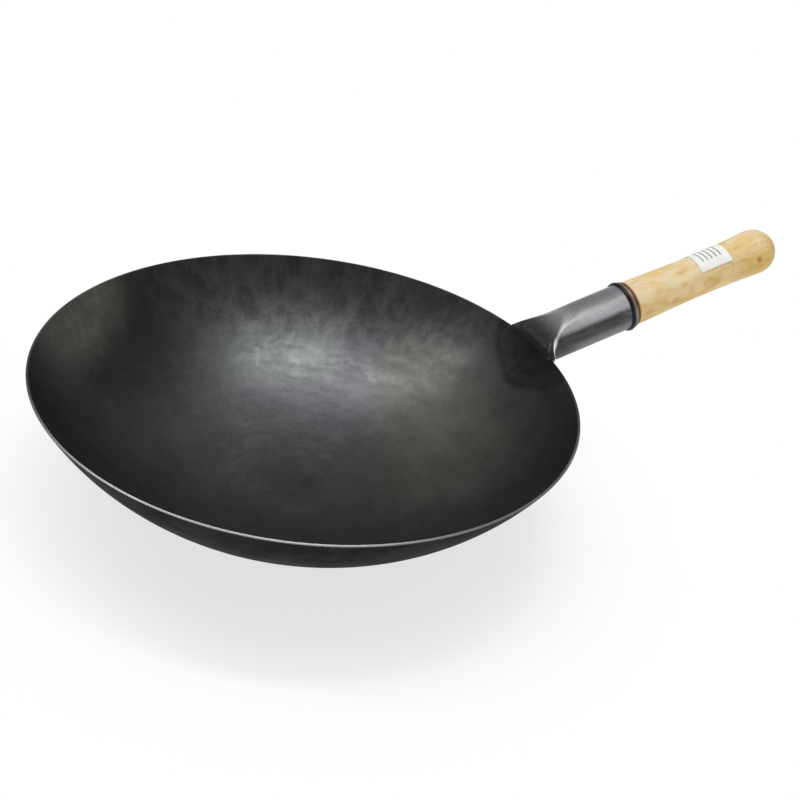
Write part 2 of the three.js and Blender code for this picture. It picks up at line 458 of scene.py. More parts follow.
@dataclass(frozen=True)
class HandleLine:
    """Frame of the handle: s along it from the rim outwards, w across and h up from its axis.

    Attributes:
        start: Point where the axis crosses the rim.
        rise_degrees: Slope of the axis.
    """

    start: Place
    rise_degrees: float = 15.2

    def place(self, points: Array) -> Array:
        """Carry points from (s, w, h) into the frame of the model.

        Args:
            points: Points of shape (..., 3).

        Returns:
            start + s * (cos, 0, sin) + w * (0, 1, 0) + h * (-sin, 0, cos), by the slope.
        """
        rise = math.radians(self.rise_degrees)
        axes = np.array([
            [math.cos(rise), 0.0, math.sin(rise)],
            [0.0, 1.0, 0.0],
            [-math.sin(rise), 0.0, math.cos(rise)],
        ])
        return points @ axes + np.array(self.start)

    def coordinates(self, wiring: Wiring) -> Plug:
        """Wire the way back from the frame of the model.

        Args:
            wiring: Wiring of the material that asks.

        Returns:
            (s, w, h) of each point, from its Object coordinates.
        """
        made = wiring.node("Mapping", vector_type="TEXTURE")
        back = (0.0, -math.radians(self.rise_degrees), 0.0)
        return wiring.fill(made, wiring.place(), Location=self.start, Rotation=back).outputs[0]


@dataclass(frozen=True)
class BowlPattern:
    """Places and noises that the bowl's finish is made of.

    Attributes:
        place: Object coordinates.
        radius, way: Distance and direction from the bowl's axis.
        cloud, patches, fine, grain: Cloudy noise, from broad to fine.
        rings: Spun rings, which are noise along the distance from the axis.
        arcs, swirls: Noise over the distance and the direction; swirls are finer and less wavy.
        scuffs, streaks: The same, but changing fast with the direction.
    """

    place: Plug
    radius: Plug
    way: Plug
    cloud: Plug
    patches: Plug
    fine: Plug
    grain: Plug
    rings: Plug
    arcs: Plug
    swirls: Plug
    scuffs: Plug
    streaks: Plug

    @classmethod
    def wired(cls, w: Wiring) -> "BowlPattern":
        """Wire the pattern.

        Args:
            w: Wiring of the material.

        Returns:
            The pattern.
        """
        place = w.place()
        flat = w.vectors("MULTIPLY", place, (1.0, 1.0, 0.0))
        radius = w.vectors("LENGTH", flat)
        way = w.vectors("NORMALIZE", flat)
        patches = w.noise(w.vectors("ADD", place, (0.4, 0.9, 0.1)), scale=42.0, detail=4.0)
        fine = w.noise(place, scale=150.0, detail=5.0)
        wavy = w.maths("MULTIPLY_ADD", patches, 0.016, radius)
        less_wavy = w.maths("MULTIPLY_ADD", patches, 0.011, radius)
        return cls(
            place,
            radius,
            way,
            cloud=w.noise(place, scale=14.0),
            patches=patches,
            fine=fine,
            grain=w.noise(place, scale=330.0, detail=4.0),
            rings=w.line_noise(w.maths("MULTIPLY_ADD", fine, 0.0016, wavy), scale=520.0, detail=4.0),
            arcs=w.spun(way, turns=2.6, distance=wavy, scale=130.0, detail=4.0),
            swirls=w.spun(way, turns=2.0, distance=less_wavy, scale=190.0, detail=3.0),
            scuffs=w.spun(way, turns=14.0, distance=wavy, scale=105.0, detail=5.0, rough=0.65),
            streaks=w.spun(way, turns=48.0, distance=radius, scale=48.0, detail=3.0),
        )


@dataclass(frozen=True)
class BowlSteel:
    """Dark oiled carbon steel: spun arcs, drifting tints, painted reflections and shade, painted highlight on
    the cut edge.

    Attributes:
        plain: Steel of the sheet.
        green, violet, warm: Tints that drift over it from one side to the other.
        side_way: Direction along which the tints change.
        painted_reflections: Painted reflections, lighter and darker patches as (middle, radius, share of the
            tone).
        far_way: Side of the wall that is scuffed.
        brown: Brownish dry oxide high on the wall, opposite the handle, lightened as a painted reflection.
        marks: Bright rub marks as (one end, other end, half width, share of the tone).
        mark_ruffle: How far the marks' edges are ruffled.
        soft_from: Share of the radius at which a painted reflection patch or the swirls start to fade.
        heat_core, heat, heat_pale: Darkened patch where the handle was welded on, from the rim outwards.
        edge: Bare steel of the rim's cut edge.
        edge_highlight_way: Side of the rim on which the cut edge carries a painted highlight; elsewhere only
            a little of the bare edge shows.
        soot, scale: Black and grey scale of the outside.
        grazing: Share of the gloss that the outside keeps at grazing angles.
        rim_shade_share, rim_from, rim_to: Share of the tone that painted shade leaves near the rim, and the
            radii between which it drops.
        oxide_reflection_at, oxide_reflection_reach, oxide_reflection_flat: Middle of the oxide and its
        painted
            reflection, its radius and how flat it is.
        swirl_at, swirl_reach: Middle of the swirled polish marks and their radius.
        heat_across, heat_down, heat_aside: Half width, depth and sideways shift of the darkened patch.
        heat_power: Power of the patch's outline; 2 is an ellipse, 1 a triangle.
        cut_under, cut_over: Heights below and above the rim's outer edge between which the cut edge starts.
    """

    plain: Colour = (0.082, 0.082, 0.082)
    green: Colour = (0.0785, 0.0840, 0.0810)
    violet: Colour = (0.081, 0.080, 0.087)
    warm: Colour = (0.086, 0.083, 0.076)
    side_way: Place = (1.0, -0.6, 0.0)
    # Painted reflections: three patches made lighter and one made darker, standing for what the steel
    # mirrors.
    painted_reflections: tuple[PaintedPatch, ...] = (
        ((-0.028, 0.062, 0.011), 0.066, 1.30),
        ((0.106, -0.034, 0.030), 0.074, 1.32),
        ((-0.075, 0.128, 0.058), 0.070, 0.74),
        ((-0.148, 0.092, 0.082), 0.050, 1.60),
    )
    marks: tuple[Mark, ...] = (
        ((0.0271, 0.1264, 0.0409), (0.0222, 0.1138, 0.0320), 0.0034, 1.36),
        ((0.0559, 0.1275, 0.0486), (0.0481, 0.1216, 0.0420), 0.0042, 1.28),
        ((0.0890, 0.1221, 0.0594), (0.1188, 0.0930, 0.0592), 0.0030, 1.26),
        ((0.0852, 0.1009, 0.0430), (0.0871, 0.0906, 0.0384), 0.0042, 1.18),
        ((0.1381, 0.0599, 0.0588), (0.1431, 0.0467, 0.0588), 0.0042, 1.16),
        ((0.0929, 0.0788, 0.0358), (0.0947, 0.0689, 0.0328), 0.0044, 1.18),
    )
    far_way: Place = (0.5, 0.866, 0.0)
    brown: Colour = (0.297, 0.283, 0.253)
    heat_core: Colour = (0.018, 0.0185, 0.0150)
    heat: Colour = (0.027, 0.027, 0.029)
    heat_pale: Colour = (0.0375, 0.0375, 0.039)
    edge: Colour = (0.26, 0.26, 0.255)
    edge_highlight_way: Place = (-0.35, -0.94, 0.0)
    soot: Colour = (0.021, 0.021, 0.0210)
    scale: Colour = (0.037, 0.036, 0.0335)
    grazing: float = 0.5
    rim_shade_share: float = 0.64
    rim_from: float = 0.110
    rim_to: float = 0.176
    oxide_reflection_at: Place = (-0.110, 0.127, 0.092)
    oxide_reflection_reach: float = 0.060
    oxide_reflection_flat: float = 1.7
    swirl_at: Place = (0.006, 0.048, 0.006)
    swirl_reach: float = 0.072
    heat_across: float = 0.043
    heat_down: float = 0.0266
    heat_aside: float = -0.004
    heat_power: float = 1.5
    cut_under: float = 0.0003
    cut_over: float = 0.0002
    mark_ruffle: float = 0.0009
    soft_from: float = 0.3

    def tints(self, w: Wiring, p: BowlPattern) -> Plug:
        """Tints that drift across the inside, and plain steel near the rim.

        Args:
            w: Wiring of the material.
            p: Pattern of the bowl.

        Returns:
            The colour.
        """
        side = w.shaken(w.vectors("DOT_PRODUCT", p.place, self.side_way), p.cloud, 0.06)
        colour = w.blend(w.band(side, 0.000, 0.030), self.green, self.violet)
        colour = w.blend(w.band(side, 0.038, 0.065), colour, self.warm)
        inner = w.times(w.band(p.radius, 0.098, 0.114, 0.9, 0.0), w.band(side, 0.03, 0.08, 1.0, 0.0))
        colour = w.blend(inner, colour, self.violet)
        return w.blend(w.band(p.radius, 0.135, 0.170), colour, self.plain)

    def reflections_and_marks(self, w: Wiring, p: BowlPattern, colour: Plug) -> Plug:
        """Painted reflections, as lighter and darker patches, and rub marks.

        A rub mark is the ellipse about its two ends, where the sum of the distances to them stays under a
        limit.

        Args:
            w: Wiring of the material.
            p: Pattern of the bowl.
            colour: Colour under them.

        Returns:
            The colour.
        """
        # Painted reflections: each patch lightens or darkens the colour towards its middle.
        for middle, reach, share in self.painted_reflections:
            away = w.vectors("DISTANCE", p.place, middle)
            colour = w.scaled(colour, w.band(away, self.soft_from * reach, reach, share, 1.0))
        ruffle = w.vary(p.grain, -self.mark_ruffle, self.mark_ruffle)
        ruffled = w.vectors("ADD", p.place, w.scaled((1.0, 1.0, 1.0), ruffle))
        for first, last, half, share in self.marks:
            reach = math.dist(first, last)
            both = w.plus(w.vectors("DISTANCE", ruffled, first), w.vectors("DISTANCE", ruffled, last))
            off = w.maths("SQRT", w.maths("MAXIMUM", w.maths("SUBTRACT", both, reach), 0.0))
            limit = math.sqrt(math.hypot(reach, 2.0 * half) - reach)
            colour = w.scaled(colour, w.band(off, 0.0, limit, share, 1.0))
        return colour

    def oxide_and_reflection(self, w: Wiring, p: BowlPattern, colour: Plug) -> Plug:
        """Dry oxide with a ragged edge, lightened as a painted reflection.

        Args:
            w: Wiring of the material.
            p: Pattern of the bowl.
            colour: Colour under it.

        Returns:
            The colour.
        """
        # Painted reflection: a light brownish patch of oxide high on the wall.
        off = w.vectors("SUBTRACT", p.place, self.oxide_reflection_at)
        off = w.vectors("MULTIPLY", off, (1.0, 1.0, self.oxide_reflection_flat))
        ragged = w.shaken(w.vectors("LENGTH", off), p.patches, 0.03)
        share = w.band(ragged, self.oxide_reflection_reach * 0.50, self.oxide_reflection_reach * 1.20, 1.0, 0.0)
        return w.blend(w.times(share, w.band(p.fine, 0.25, 0.7, 1.0, 0.7)), colour, self.brown)

    def tone(self, w: Wiring, p: BowlPattern) -> Plug:
        """Light and dark of the spun marks, the scratches and the scuffed side, and painted shade towards the
        rim.

        Args:
            w: Wiring of the material.
            p: Pattern of the bowl.

        Returns:
            The share of the colour.
        """
        tone = w.plus(w.vary(p.arcs, 0.92, 1.08), w.vary(p.rings, -0.02, 0.02))
        tone = w.plus(tone, w.vary(p.grain, -0.065, 0.065))
        away = w.vectors("DISTANCE", p.place, self.swirl_at)
        swirled = w.band(away, self.soft_from * self.swirl_reach, self.swirl_reach, 1.0, 0.0)
        swirled = w.times(swirled, w.band(p.patches, 0.36, 0.60, 0.15, 1.0))
        tone = w.maths("MULTIPLY_ADD", swirled, w.band(p.swirls, 0.34, 0.66, -0.12, 0.12), tone)
        scratch = w.times(w.band(p.streaks, 0.64, 0.76, 0.0, 0.35), w.band(p.patches, 0.5, 0.65))
        tone = w.plus(tone, scratch)
        far = w.band(w.vectors("DOT_PRODUCT", p.place, self.far_way), 0.095, 0.135)
        far = w.times(far, w.band(p.radius, 0.126, 0.150))
        tone = w.maths("MULTIPLY_ADD", far, w.band(p.scuffs, 0.36, 0.66, -0.12, 0.30), tone)
        tone = w.maths("MULTIPLY_ADD", far, w.band(p.streaks, 0.35, 0.65, -0.06, 0.06), tone)
        tone = w.times(tone, w.vary(p.patches, 0.90, 1.10))
        # Painted shade: darker towards the rim.
        return w.times(tone, w.band(p.radius, self.rim_from, self.rim_to, 1.0, self.rim_shade_share))

    def heat_patch(self, w: Wiring, p: BowlPattern, colour: Plug, rim_height: float) -> tuple[Plug, Plug]:
        """Darkened patch: half of (across ** p + down ** p) ** (1 / p) = 1, hung from the rim.

        Args:
            w: Wiring of the material.
            p: Pattern of the bowl.
            colour: Colour under it.
            rim_height: Height of the rim's outer edge.

        Returns:
            The colour, and the patch's share.
        """
        x, y, z = w.parts(p.place)
        across = w.maths("DIVIDE", w.maths("SUBTRACT", y, self.heat_aside), self.heat_across)
        down = w.maths("DIVIDE", w.maths("SUBTRACT", z, rim_height), self.heat_down)
        powers = [w.maths("POWER", w.maths("ABSOLUTE", part), self.heat_power) for part in (across, down)]
        span = w.maths("POWER", w.plus(*powers), 1.0 / self.heat_power)
        span = w.shaken(span, p.patches, 0.2)
        patch = w.times(w.band(span, 0.90, 1.07, 1.0, 0.0), w.band(x, 0.0, 0.05))
        heated = w.blend(w.band(span, 0.10, 0.42), self.heat_core, self.heat)
        heated = w.blend(w.band(span, 0.50, 0.85), heated, self.heat_pale)
        bands = w.line_noise(w.maths("MULTIPLY_ADD", p.fine, 0.12, span), scale=6.0, detail=2.0)
        bands = w.plus(w.vary(bands, 0.93, 1.07), w.vary(p.fine, -0.10, 0.10))
        heated = w.scaled(heated, w.times(bands, w.band(span, 0.86, 0.95, 1.0, 0.74)))
        return w.blend(w.times(patch, w.vary(p.fine, 0.98, 0.80)), colour, heated), patch

    def material(self, rim_height: float) -> bpy.types.Material:
        """Wire the finish, the inside first, then the outside and the cut edge.

        Args:
            rim_height: Height of the rim's outer edge.

        Returns:
            The material.
        """
        w = Wiring("dark_bowl_steel")
        p = BowlPattern.wired(w)
        outside = w.attribute("outside")
        colour = self.oxide_and_reflection(w, p, self.reflections_and_marks(w, p, self.tints(w, p)))
        colour = w.scaled(colour, self.tone(w, p))
        colour, patch = self.heat_patch(w, p, colour, rim_height)
        scaled = w.blend(w.band(p.patches, 0.35, 0.65), self.soot, self.scale)
        spun = w.plus(w.vary(p.rings, 0.86, 1.14), w.vary(p.cloud, -0.15, 0.15))
        colour = w.blend(outside, colour, w.scaled(scaled, spun))
        height = w.parts(p.place)[2]
        cut = w.band(height, rim_height - self.cut_under, rim_height + self.cut_over)
        # Painted highlight: the cut edge shows its bright bare steel in full only on one side of the rim, and
        # faintly elsewhere.
        wear_and_highlight = w.band(w.vectors("DOT_PRODUCT", p.way, self.edge_highlight_way), -0.1, 0.5, 0.12, 1.0)
        bare_and_glint = w.times(w.times(cut, wear_and_highlight), w.maths("SUBTRACT", 1.0, patch))
        colour = w.blend(bare_and_glint, colour, self.edge)
        rough = w.plus(w.vary(p.arcs, 0.42, 0.37), w.vary(p.fine, -0.02, 0.02))
        rough = w.maths("MULTIPLY_ADD", outside, 0.16, rough)
        normal = w.bump(p.rings, distance=0.00003, strength=0.3)
        normal = w.bump(p.fine, distance=0.0002, strength=0.2, under=normal)
        normal = w.bump(p.arcs, distance=0.0006, strength=0.12, under=normal)
        gloss = w.blend(outside, (1.0, 1.0, 1.0), (self.grazing,) * 3)
        w.set(Base_Color=colour, Roughness=rough, Normal=normal, Metallic=1.0, Specular_Tint=gloss)
        return w.material


@dataclass(frozen=True)
class SocketSteel:
    """Satin grey steel: painted highlight on the crease and flanks, a painted glint, painted shade on sides
    and foot.

    Attributes:
        plain: Satin grey.
        wear_and_highlight: Painted highlight of the crease and the flanks.
        bare_and_glint: Painted glint at the end of the crease.
        scale: Dark colour of the painted shade.
        blue: Heat tint at the mouth.
        blue_length: Length of that tint.
    """

    plain: Colour = (0.178, 0.174, 0.175)
    wear_and_highlight: Colour = (0.490, 0.481, 0.506)
    bare_and_glint: Colour = (0.92, 0.92, 0.90)
    scale: Colour = (0.020, 0.020, 0.019)
    blue: Colour = (0.24, 0.29, 0.37)
    blue_length: float = 0.009

    def material(self, line: HandleLine, mouth: float) -> bpy.types.Material:
        """Wire the finish.

        The skin's own attributes say where painted highlights, a painted glint and painted shade go. Fine
        drawing lines are noise stretched along the handle.

        Args:
            line: Frame of the handle.
            mouth: Distance along the handle of the tube's mouth.

        Returns:
            The material.
        """
        w = Wiring("satin_socket_steel")
        place = line.coordinates(w)
        cloud = w.noise(place, scale=60.0)
        fine = w.noise(place, scale=420.0, detail=4.0)
        mottle = w.stretched(place, (130.0, 260.0, 260.0), detail=4.0)
        drawn = w.stretched(place, (50.0, 800.0, 800.0), detail=3.0)
        s, _, _ = w.parts(place)
        painted_highlight = w.attribute("painted_highlight")
        bare_and_glint = w.attribute("bare_and_glint")
        scale = w.attribute("scale")
        # Painted shade: dark colour on the sides and at the foot.
        scaled = w.times(scale, w.band(mottle, 0.36, 0.66, 1.0, 0.86))
        colour = w.blend(scaled, self.plain, self.scale)
        # Painted highlight along the crease and the flanks.
        colour = w.blend(w.times(painted_highlight, w.vary(cloud, 0.85, 1.0)), colour, self.wear_and_highlight)
        ragged = w.maths("MULTIPLY_ADD", cloud, self.blue_length, s)
        tinted = w.band(ragged, mouth - self.blue_length, mouth, 0.0, 0.3)
        colour = w.blend(w.times(tinted, w.vary(fine)), colour, self.blue)
        # Painted glint at the end of the crease.
        colour = w.blend(bare_and_glint, colour, self.bare_and_glint)
        tone = w.plus(w.vary(fine, 0.92, 1.08), w.vary(drawn, -0.06, 0.06))
        colour = w.scaled(colour, tone)
        rough = w.plus(w.vary(cloud, 0.42, 0.50), w.vary(drawn, -0.04, 0.04))
        rough = w.maths("MULTIPLY_ADD", painted_highlight, -0.06, rough)
        normal = w.bump(drawn, distance=0.00004, strength=0.35)
        normal = w.bump(fine, distance=0.0001, strength=0.2, under=normal)
        w.set(Base_Color=colour, Roughness=rough, Normal=normal, Metallic=0.25)
        return w.material


@dataclass(frozen=True)
class WeldSteel:
    """Weld: ground dark steel with light spots of painted glint, turning into the tube's painted shade up the
    pressed top.

    Attributes:
        dark: Ground and heat darkened steel.
        grey: Dark tone where it runs out on the pressed top, the same painted shade as the tube's there.
        bare_and_glint: Light spots on the -Y side, a painted glint.
        dark_to, grey_from: Distances along the handle between which the tone turns.
        glint_from, glint_to: Places across the handle between which the spots run out.
    """

    dark: Colour = (0.030, 0.030, 0.030)
    grey: Colour = (0.021, 0.021, 0.020)
    bare_and_glint: Colour = (0.30, 0.30, 0.28)
    dark_to: float = -0.001
    grey_from: float = 0.0020
    glint_from: float = -0.013
    glint_to: float = -0.006

    def material(self, line: HandleLine) -> bpy.types.Material:
        """Wire the finish.

        Args:
            line: Frame of the handle.

        Returns:
            The material.
        """
        w = Wiring("weld_bead_steel")
        place = line.coordinates(w)
        s, across, h = w.parts(place)
        spots = w.noise(place, scale=420.0, detail=3.0)
        grain = w.noise(place, scale=900.0, detail=4.0)
        ragged = w.shaken(s, spots, 0.003)
        # Painted shade: the same dark tone as the tube's pressed top.
        turned = w.times(w.band(ragged, self.dark_to, self.grey_from), w.band(h, -0.002, 0.001))
        colour = w.blend(turned, self.dark, self.grey)
        # Painted glint: light spots only on the -Y side.
        near = w.band(across, self.glint_from, self.glint_to, 1.0, 0.0)
        colour = w.blend(w.times(near, w.band(spots, 0.58, 0.74)), colour, self.bare_and_glint)
        rough = w.vary(spots, 0.52, 0.42)
        metal = w.band(turned, 0.0, 1.0, 1.0, 0.25)
        normal = w.bump(grain, distance=0.0002, strength=0.3)
        w.set(Base_Color=colour, Roughness=rough, Normal=normal, Metallic=metal)
        return w.material


@dataclass(frozen=True)
class CollarSteel:
    """Black ring with a browned neck.

    Attributes:
        black: Black oxide of the bead.
        wear_and_highlight: Bare grey on crests.
        olive, brown: Tints of the neck.
        rust: Red-brown at the neck's end.
    """

    black: Colour = (0.018, 0.018, 0.021)
    wear_and_highlight: Colour = (0.10, 0.10, 0.10)
    olive: Colour = (0.260, 0.265, 0.195)
    brown: Colour = (0.330, 0.215, 0.155)
    rust: Colour = (0.150, 0.055, 0.032)

    def material(self, line: HandleLine, neck_start: float, end: float) -> bpy.types.Material:
        """Wire the finish.

        Args:
            line: Frame of the handle.
            neck_start: Distance along the handle where the black ends.
            end: Distance along the handle where the ring ends.

        Returns:
            The material.
        """
        w = Wiring("black_collar_steel")
        place = line.coordinates(w)
        s, _, h = w.parts(place)
        tint = w.maths("MULTIPLY_ADD", w.noise(place, scale=70.0, detail=2.0), 0.02, h)
        spots = w.noise(place, scale=260.0, detail=4.0)
        grain = w.noise(place, scale=1100.0, detail=4.0)
        ragged = w.shaken(s, spots, 0.001)
        neck = w.band(ragged, neck_start - 0.0003, neck_start + 0.0003)
        rust = w.band(ragged, end - 0.0012, end - 0.0006, 0.0, 0.95)
        colour = w.blend(w.band(spots, 0.62, 0.80, 0.0, 0.4), self.black, self.wear_and_highlight)
        tinted = w.blend(w.band(tint, 0.016, 0.024), self.olive, self.brown)
        colour = w.blend(neck, colour, w.scaled(tinted, w.band(tint, 0.004, 0.016, 0.4, 1.0)))
        colour = w.blend(rust, colour, self.rust)
        rough = w.vary(spots, 0.34, 0.5)
        normal = w.bump(grain, distance=0.0001, strength=0.3)
        w.set(Base_Color=colour, Roughness=rough, Normal=normal, Metallic=0.8)
        return w.material


@dataclass(frozen=True)
class GripWood:
    """Pale lacquered wood with orange-brown figure, lighter on the lower side by painted light, burnt brown
    at the shoulder.

    Attributes:
        pale: Plain wood.
        gold: Broad golden figure.
        underside_light: Lighter golden colour of the lower side, painted light.
        orange: Small blotches.
        knot: Small knot.
        burnt: Burnt edge at the shoulder.
        knot_at: Middle of the knot, as (s, w, h).
        knot_reach: Radius of the knot.
        ripe_from, ripe_to: Distances along the handle between which the lower side turns golden.
    """

    pale: Colour = (0.77, 0.64, 0.43)
    gold: Colour = (0.77, 0.52, 0.16)
    underside_light: Colour = (0.93, 0.68, 0.30)
    orange: Colour = (0.70, 0.37, 0.085)
    knot: Colour = (0.46, 0.165, 0.040)
    burnt: Colour = (0.20, 0.070, 0.030)
    knot_at: Place = (0.1826, -0.0158, 0.0043)
    knot_reach: float = 0.0034
    ripe_from: float = 0.150
    ripe_to: float = 0.178

    def material(self, line: HandleLine, shoulder: float) -> bpy.types.Material:
        """Wire the finish.

        Grain is noise stretched along the handle, the figure and its flecks are broader noise stretched
        less, and pores are fine noise stretched hard.

        Args:
            line: Frame of the handle.
            shoulder: Distance along the handle where the grip's body starts.

        Returns:
            The material.
        """
        w = Wiring("lacquered_grip_wood")
        place = line.coordinates(w)
        s, _, h = w.parts(place)
        warp = w.noise(place, scale=30.0, detail=2.0)
        bent = w.vectors("ADD", place, w.scaled((0.0, 1.0, 1.0), w.times(warp, 0.006)))
        grain = w.stretched(bent, (14.0, 260.0, 260.0), detail=4.0)
        figure = w.stretched(bent, (48.0, 95.0, 95.0), detail=3.0)
        flecks = w.stretched(bent, (95.0, 170.0, 170.0), detail=3.0)
        pores = w.stretched(bent, (90.0, 1500.0, 1500.0), detail=2.0)
        # Painted light: the lower side is made lighter and more golden.
        low = w.band(w.shaken(h, figure, 0.012), -0.006, 0.016, 0.95, 0.0)
        colour = w.blend(low, self.pale, self.underside_light)
        golden = w.times(w.band(figure, 0.40, 0.64), w.band(h, 0.0, 0.014, 1.0, 0.65))
        ripe = w.times(w.band(s, self.ripe_from, self.ripe_to), w.band(h, 0.005, 0.016, 0.9, 0.0))
        colour = w.blend(w.maths("MAXIMUM", golden, ripe), colour, self.gold)
        colour = w.blend(w.band(flecks, 0.48, 0.82, 0.0, 0.85), colour, self.orange)
        colour = w.scaled(colour, w.vary(grain, 1.05, 0.95))
        away = w.vectors("DISTANCE", place, self.knot_at)
        away = w.shaken(away, flecks, self.knot_reach)
        colour = w.blend(w.band(away, 0.0, self.knot_reach, 0.9, 0.0), colour, self.knot)
        edge = w.maths("MULTIPLY_ADD", grain, 0.0012, s)
        colour = w.blend(w.band(edge, shoulder + 0.0012, shoulder + 0.0032, 0.95, 0.0), colour, self.burnt)
        rough = w.vary(grain, 0.40, 0.52)
        normal = w.bump(pores, distance=0.00012, strength=0.25)
        normal = w.bump(grain, distance=0.0003, strength=0.15, under=normal)
        w.set(Base_Color=colour, Roughness=rough, Normal=normal, Specular_IOR_Level=0.3)
        w.set(Coat_Weight=0.1, Coat_Roughness=0.3)
        return w.material


@dataclass(frozen=True)
class ScrewSteel:
    """Zinc plated steel.

    Attributes:
        plate: Clean plating.
        dull: Dull patches.
    """

    plate: Colour = (0.55, 0.55, 0.53)
    dull: Colour = (0.30, 0.29, 0.27)

    def material(self) -> bpy.types.Material:
        """Wire the finish: dull patches in bright plating, with a fine grain.

        Returns:
            The material.
        """
        w = Wiring("zinc_screw_steel")
        place = w.place()
        spots = w.noise(place, scale=600.0, detail=4.0)
        colour = w.blend(w.band(spots, 0.45, 0.7), self.plate, self.dull)
        rough = w.vary(spots, 0.25, 0.42)
        normal = w.bump(w.noise(place, scale=2400.0), distance=0.00005, strength=0.3)
        w.set(Base_Color=colour, Roughness=rough, Normal=normal, Metallic=1.0)
        return w.material


@dataclass(frozen=True)
class LabelPaper:
    """White coated paper with a few plain grey rules.

    Attributes:
        white: Paper.
        shade: Cloudy shade of the paper.
        ink: Rules.
    """

    white: Colour = (0.90, 0.90, 0.88)
    shade: Colour = (0.82, 0.82, 0.79)
    ink: Colour = (0.10, 0.10, 0.11)

    def material(self) -> bpy.types.Material:
        """Wire the finish: rules at even steps of the label's own map, and paper fibre as bump.

        Returns:
            The material.
        """
        w = Wiring("label_paper_white")
        where = w.node("UVMap").outputs[0]
        u, v, _ = w.parts(where)
        place = w.place()
        fibre = w.noise(place, scale=2600.0, detail=3.0)
        cloud = w.noise(place, scale=160.0)
        colour = w.blend(w.band(cloud, 0.4, 0.7), self.white, self.shade)
        step = w.maths("FRACT", w.times(u, 7.0))
        rule = w.times(w.band(step, 0.28, 0.34), w.band(step, 0.58, 0.64, 1.0, 0.0))
        inside = w.times(w.band(u, 0.13, 0.15), w.band(u, 0.84, 0.86, 1.0, 0.0))
        ends = w.times(w.band(v, 0.14, 0.16), w.band(v, 0.70, 0.72, 1.0, 0.0))
        ink = w.times(w.times(rule, inside), ends)
        colour = w.blend(w.times(ink, 0.75), colour, self.ink)
        rough = w.vary(cloud, 0.5, 0.62)
        w.set(Base_Color=colour, Roughness=rough, Normal=w.bump(fibre, distance=0.00005, strength=0.3))
        return w.material


def finish_piece(piece: bpy.types.Object, node: Node, material: bpy.types.Material) -> None:
    """Give a piece its material and tie it to the frame.

    Args:
        piece: The piece.
        node: Solid that it stands for.
        material: Its material.
    """
    piece.data.materials.append(material)
    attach(piece, BODY)
    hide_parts(node.value)
    LOG.info("%s: %d faces", piece.name, len(piece.data.polygons))


